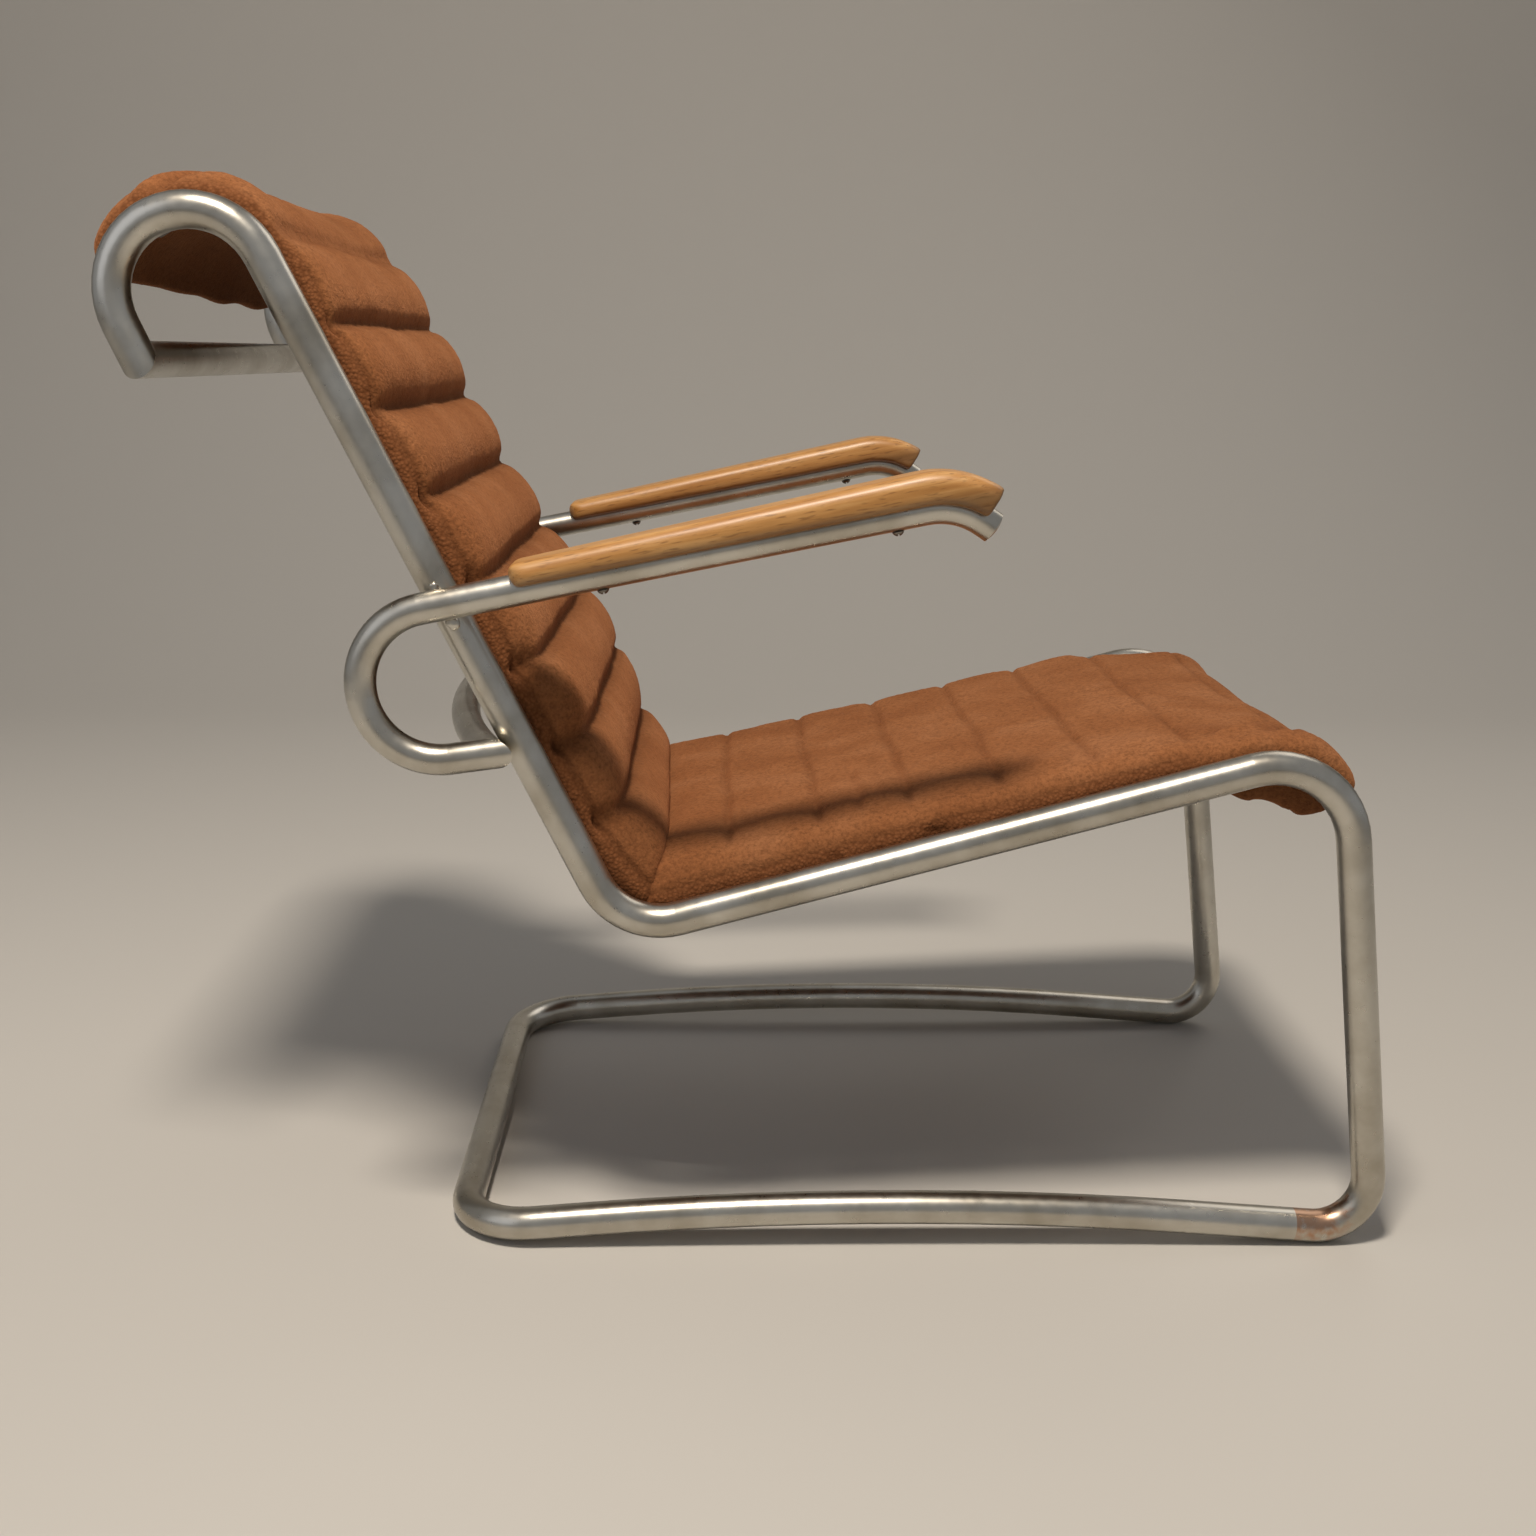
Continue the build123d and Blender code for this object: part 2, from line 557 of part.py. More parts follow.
def back_outline(y, full, lift):
    bottom = PAD_BOTTOM + PAD_SIDE_RISE * (1 - full)

    def on_back(place, height):
        return at_y(seat_corner + along_back * place + before_back * height, y)

    def on_hook(turn, height):
        return at_y(hook_centre + heading(hook_start_angle + turn) * (HOOK_R + height), y)

    crease = at_y(crease_point(pad_top(PAD_CREASE_TOP, full), along_back, before_back), y)
    back_seams = [on_back(p, pad_top(h, full)) for p, h in zip(BACK_SEAMS, BACK_SEAM_TOPS)]
    seams = [crease, *back_seams, on_hook(HEAD_SEAM_TURN, pad_top(HEAD_SEAM_TOP, full))]

    head_turns = [HEAD_SEAM_TURN + (HEAD_END_TURN - HEAD_SEAM_TURN) * k / 4 for k in range(5)]
    head_top = HEAD_TOP + HEAD_SIDE_LIFT * lift
    head_heights = [HEAD_SEAM_TOP, head_top, head_top, (head_top + HEAD_END_TOP) / 2, HEAD_END_TOP]
    head = [on_hook(t, pad_top(h, full)) for t, h in zip(head_turns, head_heights)]
    flap = on_hook(HEAD_FLAP_TURN, bottom)
    end_height = (pad_top(HEAD_END_TOP, full) + bottom) / 2
    end_middle = on_hook((HEAD_END_TURN + HEAD_FLAP_TURN) / 2, end_height)
    end_out = heading(hook_start_angle + HEAD_FLAP_TURN + 90) * HEAD_END_BULGE
    crease_turn = degrees(PAD_CREASE_GAP / SEAT_BEND_R)
    below_bend = arc(seat_bend_centre, SEAT_BEND_R - bottom, hook_start_angle + 180,
                     seat_halving_angle + 180 - crease_turn, y)
    below_hook = halved_arc(hook_centre, HOOK_R + bottom, hook_start_angle + HEAD_FLAP_TURN,
                            hook_start_angle, y)
    return joined(
        *scallops(seams, BACK_SWELLS, full, -1),
        ThreePointArc(head[0], head[1], head[2]),
        ThreePointArc(head[2], head[3], head[4]),
        ThreePointArc(head[4], end_middle + end_out, flap),
        *below_hook,
        Line(below_hook[1] @ 1, below_bend @ 0),
        below_bend,
        Line(below_bend @ 1, crease),
    )


def seat_outline(y, full, lift):
    bottom = PAD_BOTTOM + PAD_SIDE_RISE * (1 - full)
    bend_start_angle = SEAT_SLOPE + 90
    bend_start = SEAT_LENGTH - front_tangent

    def on_seat(place, height):
        return at_y(seat_corner + along_seat * place + above_seat * height, y)

    def on_nose(turn, height):
        return at_y(front_bend_centre + heading(bend_start_angle - turn) * (FRONT_BEND_R + height), y)

    nose_place = bend_start + radians(NOSE_SEAM_TURN) * FRONT_BEND_R
    roll_width = (nose_place - SEAT_FIRST_SEAM) / SEAT_ROLL_COUNT
    places = [SEAT_FIRST_SEAM + roll_width * k for k in range(SEAT_ROLL_COUNT)]
    fall = (SEAT_REAR_TOP - SEAT_FRONT_TOP) / (SEAT_ROLL_COUNT - 1)
    tops = [SEAT_REAR_TOP - fall * k for k in range(SEAT_ROLL_COUNT)]
    crease = at_y(crease_point(pad_top(PAD_CREASE_TOP, full), along_seat, above_seat), y)
    nose_seam = on_nose(NOSE_SEAM_TURN, pad_top(NOSE_SEAM_TOP + NOSE_SIDE_LIFT * lift, full))
    seams = [crease, *[on_seat(p, pad_top(h, full)) for p, h in zip(places, tops)], nose_seam]
    swells = [SEAT_SWELL] * (SEAT_ROLL_COUNT + 1)

    nose_top = pad_top(NOSE_TOP + NOSE_SIDE_LIFT * lift, full)
    nose_end_top = nose_top - NOSE_END_FALL
    end_turn = NOSE_END_TURN - NOSE_SIDE_SHORT * lift
    under_turn = end_turn + NOSE_END_SLANT
    front = ThreePointArc(
        nose_seam,
        on_nose((NOSE_SEAM_TURN + end_turn) / 2, nose_top),
        on_nose(end_turn, nose_end_top),
    )
    end_middle = on_nose((end_turn + under_turn) / 2, (nose_end_top + NOSE_BOTTOM) / 2)
    end_out = heading(bend_start_angle - under_turn - 90) * NOSE_BULGE
    under = arc(front_bend_centre, FRONT_BEND_R + NOSE_BOTTOM, bend_start_angle - under_turn,
                bend_start_angle, y)
    flat_end = on_seat(bend_start - NOSE_FLAT, NOSE_BOTTOM)
    run_in = on_seat(bend_start - NOSE_RUN_IN, bottom)
    crease_turn = degrees(PAD_CREASE_GAP / SEAT_BEND_R)
    below_bend = arc(seat_bend_centre, SEAT_BEND_R - bottom, SEAT_SLOPE + 270,
                     seat_halving_angle + 180 + crease_turn, y)
    return joined(
        *scallops(seams, swells, full, 1),
        front,
        ThreePointArc(front @ 1, end_middle + end_out, under @ 0),
        under,
        Line(under @ 1, flat_end),
        Line(flat_end, run_in),
        Line(run_in, below_bend @ 0),
        below_bend,
        Line(below_bend @ 1, crease),
    )


def pad(outline):
    return loft([Face(outline(*section)) for section in pad_sections()], ruled=True)


# All nodes, then moved so that the origin is below the middle of the chair

nodes = {}
nodes["side_tube_right"], nodes["side_tube_left"] = pair(side_tube())
nodes["floor_tube"] = floor_tube()
nodes["floor_joint_plugs"] = Compound(children=list(pair(joint_plug())))
nodes["head_cross_tube"] = head_cross_tube()
nodes["arm_tube_right"], nodes["arm_tube_left"] = pair(arm_tube())
nodes["arm_cross_tube"] = arm_cross_tube()
nodes["arm_end_caps"] = Compound(children=list(pair(arm_end_cap())))
nodes["armrest_right"], nodes["armrest_left"] = pair(armrest())
screws = [twin for place in REST_SCREW_PLACES for twin in pair(armrest_screw(place))]
nodes["armrest_screws"] = Compound(children=screws)
for name, *place in strap_places():
    nodes[name] = strap(*place)
for name, side in (("strap_hooks_right", RIGHT), ("strap_hooks_left", LEFT)):
    nodes[name] = Compound(children=[clip(*place, side) for _, *place in strap_places()])
nodes["back_pad"] = pad(back_outline)
nodes["seat_pad"] = pad(seat_outline)

boxes = [solid.bounding_box() for solid in nodes.values()]
middle_x = (min(b.min.X for b in boxes) + max(b.max.X for b in boxes)) / 2
os.makedirs("parts", exist_ok=True)
for name, solid in nodes.items():
    export_step(Pos(-middle_x, 0, 0) * solid, f"parts/{name}.step")
print(f"{len(nodes)} nodes, rear floor tube at x = {-middle_x:.2f}")
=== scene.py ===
import bpy
import math
from mathutils import Matrix, Vector, noise


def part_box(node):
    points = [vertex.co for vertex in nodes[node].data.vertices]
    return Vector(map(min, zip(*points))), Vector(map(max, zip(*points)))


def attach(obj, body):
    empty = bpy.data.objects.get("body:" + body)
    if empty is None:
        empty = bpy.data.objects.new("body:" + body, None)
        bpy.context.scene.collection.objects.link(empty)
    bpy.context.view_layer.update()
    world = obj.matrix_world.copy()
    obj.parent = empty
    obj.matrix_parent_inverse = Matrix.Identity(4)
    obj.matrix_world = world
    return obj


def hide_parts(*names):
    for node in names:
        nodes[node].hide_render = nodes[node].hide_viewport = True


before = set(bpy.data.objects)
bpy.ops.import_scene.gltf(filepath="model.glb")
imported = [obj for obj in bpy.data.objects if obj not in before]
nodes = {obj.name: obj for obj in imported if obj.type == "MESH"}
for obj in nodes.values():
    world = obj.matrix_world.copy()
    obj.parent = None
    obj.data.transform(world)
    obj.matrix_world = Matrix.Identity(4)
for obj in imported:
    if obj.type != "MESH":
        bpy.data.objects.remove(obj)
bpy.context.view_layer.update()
bpy.ops.object.select_all(action="DESELECT")
print("frame loaded,", len(nodes), "nodes")

# side view of the frame, metres and degrees, the same values as the solids
chair = {
    "rearTubeX": -0.23805,     # x of the rear floor tube, from which the side view counts
    "seatCorner": (0.124, 0.247),
    "seatSlope": 15.2,
    "seatLength": 0.541,
    "backSlope": 63.6,
    "backLength": 0.524,
    "hookRadius": 0.053,
    "hookTurn": 5,             # radians, more than the pad goes round the hook
    "frontRadius": 0.062,
    "legLean": 7.4,
    "halfSpan": 0.225,         # y of the side tubes
    "tubeRadius": 0.0125,
    "armCrossing": 0.270,
    "armSlope": 11.6,
    "armSide": 0.2487,         # y of the arm tubes
}


def heading(angle):            # unit vector in the side view, counted up from forward
    return Vector((math.cos(math.radians(angle)), 0, math.sin(math.radians(angle))))


seatCorner = Vector((chair["rearTubeX"] + chair["seatCorner"][0], 0, chair["seatCorner"][1]))
alongSeat, aboveSeat = heading(chair["seatSlope"]), heading(chair["seatSlope"] + 90)
alongBack, beforeBack = heading(180 - chair["backSlope"]), heading(90 - chair["backSlope"])
hookStart = 90 - chair["backSlope"]
hookCentre = seatCorner + alongBack * chair["backLength"] - beforeBack * chair["hookRadius"]
frontHalf = math.radians((90 - chair["seatSlope"] + chair["legLean"]) / 2)
frontTangent = chair["frontRadius"] / math.tan(frontHalf)
bendStart = chair["seatLength"] - frontTangent
frontCentre = seatCorner + alongSeat * bendStart - aboveSeat * chair["frontRadius"]
alongArm, aboveArm = heading(chair["armSlope"]), heading(chair["armSlope"] + 90)
armCrossing = seatCorner + alongBack * chair["armCrossing"]
padHalf = chair["halfSpan"] - chair["tubeRadius"]      # the pads lie between the side tubes
creaseAngle = (chair["seatSlope"] + 180 - chair["backSlope"]) / 2
creaseUp, creaseAcross = heading(creaseAngle), heading(creaseAngle + 90)    # across: from seat to back


def backPlace(point):          # way up the back, height over the tube's axis, outward direction
    flat = Vector((point.x, 0, point.z))
    up = (flat - seatCorner).dot(alongBack)
    if up <= chair["backLength"]:
        return up, (flat - seatCorner).dot(beforeBack), beforeBack
    spoke = flat - hookCentre
    turn = (math.atan2(spoke.z, spoke.x) - math.radians(hookStart)) % math.tau
    turn = turn - math.tau if turn > chair["hookTurn"] else turn     # just before the hook
    way = chair["backLength"] + turn * chair["hookRadius"]
    return way, spoke.length - chair["hookRadius"], spoke.normalized()


def seatPlace(point):          # way along the seat, height over the tube's axis, outward direction
    flat = Vector((point.x, 0, point.z))
    along = (flat - seatCorner).dot(alongSeat)
    if along <= bendStart:
        return along, (flat - seatCorner).dot(aboveSeat), aboveSeat
    spoke = flat - frontCentre
    turn = math.radians(chair["seatSlope"] + 90) - math.atan2(spoke.z, spoke.x)
    way = bendStart + turn * chair["frontRadius"]
    return way, spoke.length - chair["frontRadius"], spoke.normalized()


def linear(code):              # sRGB hex to linear colour
    parts = [int(code[i:i + 2], 16) / 255 for i in (1, 3, 5)]
    return tuple(c / 12.92 if c <= 0.04045 else ((c + 0.055) / 1.055) ** 2.4 for c in parts) + (1.0,)


def perMetre(millimetres):     # texture scale whose features are about that size
    return 1000.0 / millimetres


def addNode(tree, kind, settings={}, links={}):
    node = tree.nodes.new("ShaderNode" + kind)
    for key, value in settings.items():
        if key == "ramp":
            ramp = node.color_ramp.elements
            while len(ramp) < len(value):
                ramp.new(0.5)
            for stop, (position, colour) in zip(ramp, value):
                stop.position, stop.color = position, colour
        elif isinstance(key, int) or key in node.inputs:
            node.inputs[key].default_value = value
        else:
            setattr(node, key, value)
    for key, socket in links.items():
        tree.links.new(socket, node.inputs[key])
    return node


def newMaterial(name):
    material = bpy.data.materials.new(name)
    material.use_nodes = True
    material.node_tree.nodes.clear()
    return material, material.node_tree


def grey(level):
    return (level, level, level, 1.0)


# cotton plush with a short cut pile: matt, a soft bloom at grazing angles, fine tufts, painted shade in
# seams;
# its side walls show the looped terry of the same cloth, darkened with painted shade, also between the loops
def plushMaterial():
    # the deepest tone is painted shade, laid into seams, folds, welts, low walls and the crease
    tones = {"deep": "#2C1206", "shade": "#98603A", "body": "#A36A42", "brushed": "#AE754D",
             "loop": "#8D5A38", "loopGap": "#724528", "sheen": "#C08258"}
    material, tree = newMaterial("cottonPlush")
    place = addNode(tree, "TexCoord").outputs["Object"]
    nap = addNode(tree, "Attribute", {"attribute_name": "nap"}).outputs["Fac"]
    terry = addNode(tree, "Attribute", {"attribute_name": "terry"}).outputs["Fac"]
    patches = addNode(tree, "TexNoise", {"Scale": perMetre(65), "Detail": 3.0}, {"Vector": place})
    # a pile of 0.5 mm is drawn as tufts of 3.4 mm so that it shows, and its loops 2.6 mm apart
    tufts = addNode(tree, "TexNoise", {"Scale": perMetre(3.4), "Detail": 3.0, "Roughness": 0.75},
                    {"Vector": place})
    loops = addNode(tree, "TexVoronoi", {"Scale": perMetre(2.6), "Randomness": 1.0}, {"Vector": place})
    brushed = addNode(tree, "ValToRGB",
                      {"ramp": [(0.34, linear(tones["shade"])), (0.50, linear(tones["body"])),
                                (0.66, linear(tones["brushed"]))]}, {"Fac": patches.outputs["Fac"]})
    fibre = addNode(tree, "ValToRGB", {"ramp": [(0.30, grey(0.36)), (0.58, grey(1.0))]},
                    {"Fac": tufts.outputs["Fac"]})
    cut = addNode(tree, "Mix", {"data_type": "RGBA", "blend_type": "MULTIPLY", 0: 0.8},
                  {6: brushed.outputs["Color"], 7: fibre.outputs["Color"]})
    # loop tones, darker than the face: partly the looped cloth, partly painted shade on the walls and
    # between the loops
    loopsAndShade = addNode(tree, "ValToRGB",
                     {"ramp": [(0.15, linear(tones["loop"])), (0.80, linear(tones["loopGap"]))]},
                     {"Fac": loops.outputs["Distance"]})
    cloth = addNode(tree, "Mix", {"data_type": "RGBA"},
                    {0: terry, 6: cut.outputs[2], 7: loopsAndShade.outputs["Color"]})
    # painted shade: the attribute darkens seams, folds, welts, the foot of the walls and the crease toward
    # the deep tone
    paintedShadeMix = addNode(tree, "Mix", {"data_type": "RGBA", 6: linear(tones["deep"])},
                     {0: nap, 7: cloth.outputs[2]})
    bead = addNode(tree, "Math", {"operation": "MULTIPLY", 1: -0.4}, {0: loops.outputs["Distance"]})
    pile = addNode(tree, "Mix", {"data_type": "FLOAT"},
                   {0: terry, 2: tufts.outputs["Fac"], 3: bead.outputs["Value"]})
    bump = addNode(tree, "Bump", {"Strength": 0.8, "Distance": 0.0022}, {"Height": pile.outputs[0]})
    shader = addNode(tree, "BsdfPrincipled",
                     {"Roughness": 0.95, "Specular IOR Level": 0.1, "Sheen Weight": 0.5,
                      "Sheen Roughness": 0.5, "Sheen Tint": linear(tones["sheen"])},
                     {"Base Color": paintedShadeMix.outputs[2], "Normal": bump.outputs["Normal"]})
    addNode(tree, "OutputMaterial", {}, {"Surface": shader.outputs["BSDF"]})
    return material


# nickel-plated drawn steel tube, gone satin with age: broad highlights, beige tarnish in clouds, a few pits
def nickelMaterial(name, patch=None):
    tones = {"bright": "#C8C4BA", "tarnish": "#ABA496", "pit": "#7A6A58", "copper": "#B48C70"}
    material, tree = newMaterial(name)
    place = addNode(tree, "TexCoord").outputs["Object"]
    clouds = addNode(tree, "TexNoise", {"Scale": perMetre(60), "Detail": 4.0, "Roughness": 0.55},
                     {"Vector": place})
    rubbed = addNode(tree, "TexNoise", {"Scale": perMetre(7), "Detail": 2.5, "Roughness": 0.5},
                     {"Vector": place})
    cells = addNode(tree, "TexVoronoi", {"Scale": perMetre(16)}, {"Vector": place})
    skin = addNode(tree, "ValToRGB",
                   {"ramp": [(0.32, linear(tones["tarnish"])), (0.60, linear(tones["bright"]))]},
                   {"Fac": clouds.outputs["Fac"]})
    pits = addNode(tree, "ValToRGB", {"ramp": [(0.04, grey(1.0)), (0.08, grey(0.0))]},
                   {"Fac": cells.outputs["Distance"]})
    rare = addNode(tree, "ValToRGB", {"ramp": [(0.70, grey(0.0)), (0.80, grey(0.5))]},
                   {"Fac": clouds.outputs["Fac"]})
    pitMask = addNode(tree, "Math", {"operation": "MULTIPLY"},
                      {0: pits.outputs["Color"], 1: rare.outputs["Color"]})
    pitted = addNode(tree, "Mix", {"data_type": "RGBA", 7: linear(tones["pit"])},
                     {0: pitMask.outputs["Value"], 6: skin.outputs["Color"]})
    colour = pitted.outputs[2]
    if patch:                  # the copper undercoat shows where the plating has gone, ragged all round
        axes = addNode(tree, "SeparateXYZ", {}, {"Vector": place})
        ragged = addNode(tree, "MapRange",
                         {"From Min": 0.3, "From Max": 0.7,
                          "To Min": -patch["ragged"], "To Max": patch["ragged"]},
                         {"Value": rubbed.outputs["Fac"]})
        height = addNode(tree, "Math", {"operation": "ADD"},
                         {0: axes.outputs["Z"], 1: ragged.outputs["Result"]})
        low = addNode(tree, "MapRange", {"From Min": patch["top"], "From Max": patch["top"] - patch["fade"]},
                      {"Value": height.outputs["Value"]})
        high = addNode(tree, "MapRange",
                       {"From Min": patch["foot"], "From Max": patch["foot"] + patch["fade"], "To Max": 0.9},
                       {"Value": height.outputs["Value"]})
        ahead = addNode(tree, "Math", {"operation": "ADD"},
                        {0: axes.outputs["X"], 1: ragged.outputs["Result"]})
        behind = addNode(tree, "MapRange",
                         {"From Min": patch["front"], "From Max": patch["front"] - patch["fade"]},
                         {"Value": ahead.outputs["Value"]})
        band = addNode(tree, "Math", {"operation": "MULTIPLY"},
                       {0: low.outputs["Result"], 1: high.outputs["Result"]})
        bare = addNode(tree, "Math", {"operation": "MULTIPLY"},
                       {0: band.outputs["Value"], 1: behind.outputs["Result"]})
        copper = addNode(tree, "Mix", {"data_type": "RGBA", 7: linear(tones["copper"])},
                         {0: bare.outputs["Value"], 6: colour})
        colour = copper.outputs[2]
    rough = addNode(tree, "MapRange", {"From Min": 0.3, "From Max": 0.7, "To Min": 0.27, "To Max": 0.33},
                    {"Value": rubbed.outputs["Fac"]})
    bump = addNode(tree, "Bump", {"Strength": 0.005, "Distance": 0.0006}, {"Height": rubbed.outputs["Fac"]})
    shader = addNode(tree, "BsdfPrincipled", {"Metallic": 1.0},
                     {"Base Color": colour, "Roughness": rough.outputs["Result"],
                      "Normal": bump.outputs["Normal"]})
    addNode(tree, "OutputMaterial", {}, {"Surface": shader.outputs["BSDF"]})
    return material


# oak, shaped and varnished long ago: golden, fine dark pores along the grain, painted shade low down beside
# the tube
def oakMaterial():
    tones = {"late": "#B07B40", "body": "#BD894C", "early": "#CC9C60", "pore": "#7C5228", "grime": "#54371B"}
    grime = {"from": 0.002, "to": 0.012}       # height over the arm tube's axis, over which the painted shade fades out
    knot = {"along": 0.0515, "above": 0.0115, "aside": 0.006, "core": 0.0014, "edge": 0.0026}
    drawnOut = {"rings": 0.06, "pores": 0.13}  # how much finer across the grain than along it
    knotSide = Vector((0, -chair["armSide"] - knot["aside"], 0))
    knotPlace = armCrossing + alongArm * knot["along"] + aboveArm * knot["above"] + knotSide
    material, tree = newMaterial("oldOak")
    place = addNode(tree, "TexCoord").outputs["Object"]
    turned = addNode(tree, "Mapping", {"Rotation": (0, math.radians(chair["armSlope"]), 0)},
                     {"Vector": place})
    drawn = addNode(tree, "VectorMath", {"operation": "MULTIPLY", 1: (drawnOut["rings"], 1.0, 1.0)},
                    {0: turned.outputs["Vector"]})
    rings = addNode(tree, "TexNoise",
                    {"Scale": perMetre(5), "Detail": 4.0, "Roughness": 0.55, "Distortion": 0.3},
                    {"Vector": drawn.outputs["Vector"]})
    dashed = addNode(tree, "VectorMath", {"operation": "MULTIPLY", 1: (drawnOut["pores"], 1.0, 1.0)},
                     {0: turned.outputs["Vector"]})
    pores = addNode(tree, "TexNoise", {"Scale": perMetre(1.5), "Detail": 1.0},
                    {"Vector": dashed.outputs["Vector"]})
    figure = addNode(tree, "ValToRGB",
                     {"ramp": [(0.34, linear(tones["late"])), (0.50, linear(tones["body"])),
                               (0.66, linear(tones["early"]))]}, {"Fac": rings.outputs["Fac"]})
    poreMask = addNode(tree, "ValToRGB", {"ramp": [(0.58, grey(0.0)), (0.72, grey(0.6))]},
                       {"Fac": pores.outputs["Fac"]})
    porous = addNode(tree, "Mix", {"data_type": "RGBA", 7: linear(tones["pore"])},
                     {0: poreMask.outputs["Color"], 6: figure.outputs["Color"]})
    lift = addNode(tree, "VectorMath", {"operation": "DOT_PRODUCT", 1: aboveArm}, {0: place})
    base = armCrossing.dot(aboveArm)
    # painted shade low down beside the arm tube, fading upward
    low = addNode(tree, "MapRange", {"From Min": base + grime["from"], "From Max": base + grime["to"],
                                     "To Min": 0.7, "To Max": 0.0}, {"Value": lift.outputs["Value"]})
    lowShaded = addNode(tree, "Mix", {"data_type": "RGBA", 7: linear(tones["grime"])},
                    {0: low.outputs["Result"], 6: porous.outputs[2]})
    reach = addNode(tree, "VectorMath", {"operation": "DISTANCE", 1: knotPlace}, {0: place})
    spot = addNode(tree, "MapRange", {"From Min": knot["edge"], "From Max": knot["core"], "To Max": 0.85},
                   {"Value": reach.outputs["Value"]})
    # the knot takes the same dark tone as the painted shade
    knotted = addNode(tree, "Mix", {"data_type": "RGBA", 7: linear(tones["grime"])},
                      {0: spot.outputs["Result"], 6: lowShaded.outputs[2]})
    bump = addNode(tree, "Bump", {"Strength": 0.10, "Distance": 0.0004}, {"Height": pores.outputs["Fac"]})
    shader = addNode(tree, "BsdfPrincipled",
                     {"Roughness": 0.42, "IOR": 1.5, "Coat Weight": 0.15, "Coat Roughness": 0.3},
                     {"Base Color": knotted.outputs[2], "Normal": bump.outputs["Normal"]})
    addNode(tree, "OutputMaterial", {}, {"Surface": shader.outputs["BSDF"]})
    return material


# jute webbing, plain woven, threads drawn 2.5 mm apart so that they show
def webbingMaterial():
    tones = {"thread": "#7A6243", "gap": "#3F301F"}
    bands = {"wave_type": "BANDS", "Scale": perMetre(2.5) / 6.283, "Distortion": 0.6}    # in radians
    material, tree = newMaterial("juteWebbing")
    place = addNode(tree, "TexCoord").outputs["Object"]
    across = addNode(tree, "TexWave", {**bands, "bands_direction": "Y"}, {"Vector": place})
    along = addNode(tree, "TexWave", {**bands, "bands_direction": "DIAGONAL"}, {"Vector": place})
    weave = addNode(tree, "Math", {"operation": "MULTIPLY"},
                    {0: across.outputs["Fac"], 1: along.outputs["Fac"]})
    colour = addNode(tree, "Mix", {"data_type": "RGBA", 6: linear(tones["gap"]), 7: linear(tones["thread"])},
                     {0: weave.outputs["Value"]})
    bump = addNode(tree, "Bump", {"Strength": 0.5, "Distance": 0.0008}, {"Height": weave.outputs["Value"]})
    shader = addNode(tree, "BsdfPrincipled", {"Roughness": 0.9, "Specular IOR Level": 0.2},
                     {"Base Color": colour.outputs[2], "Normal": bump.outputs["Normal"]})
    addNode(tree, "OutputMaterial", {}, {"Surface": shader.outputs["BSDF"]})
    return material


# mild steel, pressed or turned and left bare: dull grey with brown bloom
def bareSteelMaterial():
    tones = {"bloom": "#5A4B3D", "steel": "#8C8880"}
    material, tree = newMaterial("bareSteel")
    place = addNode(tree, "TexCoord").outputs["Object"]
    bloom = addNode(tree, "TexNoise", {"Scale": perMetre(6), "Detail": 4.0}, {"Vector": place})
    colour = addNode(tree, "ValToRGB",
                     {"ramp": [(0.38, linear(tones["bloom"])), (0.6, linear(tones["steel"]))]},
                     {"Fac": bloom.outputs["Fac"]})
    shader = addNode(tree, "BsdfPrincipled", {"Metallic": 1.0, "Roughness": 0.45},
                     {"Base Color": colour.outputs["Color"]})
    addNode(tree, "OutputMaterial", {}, {"Surface": shader.outputs["BSDF"]})
    return material


# painted studio floor, matt and pale
def floorMaterial():
    material, tree = newMaterial("paleFloor")
    shader = addNode(tree, "BsdfPrincipled", {"Base Color": linear("#CFCBC4"), "Roughness": 0.85})
    addNode(tree, "OutputMaterial", {}, {"Surface": shader.outputs["BSDF"]})
    return material


plush = plushMaterial()
nickel = nickelMaterial("wornNickel")
toePatch = {"top": 0.042, "foot": 0.005, "front": 0.437, "fade": 0.012, "ragged": 0.008}
wornToe = nickelMaterial("wornNickelToe", toePatch)
oak = oakMaterial()
webbing = webbingMaterial()
bareSteel = bareSteelMaterial()
print("materials made")


def dress(node, material):
    nodes[node].data.materials.clear()
    nodes[node].data.materials.append(material)


for node in ("side_tube_left", "floor_tube", "head_cross_tube", "arm_tube_right", "arm_tube_left",
             "arm_cross_tube", "arm_end_caps"):
    dress(node, nickel)
dress("side_tube_right", wornToe)
for node in ("armrest_screws", "floor_joint_plugs", "strap_hooks_right", "strap_hooks_left"):
    dress(node, bareSteel)
print("frame dressed")


def useOnly(piece):            # operators act on all that is selected
    bpy.ops.object.select_all(action="DESELECT")
    piece.select_set(True)
    bpy.context.view_layer.objects.active = piece


def applyAll(piece):
    useOnly(piece)
    for modifier in list(piece.modifiers):
        bpy.ops.object.modifier_apply(modifier=modifier.name)


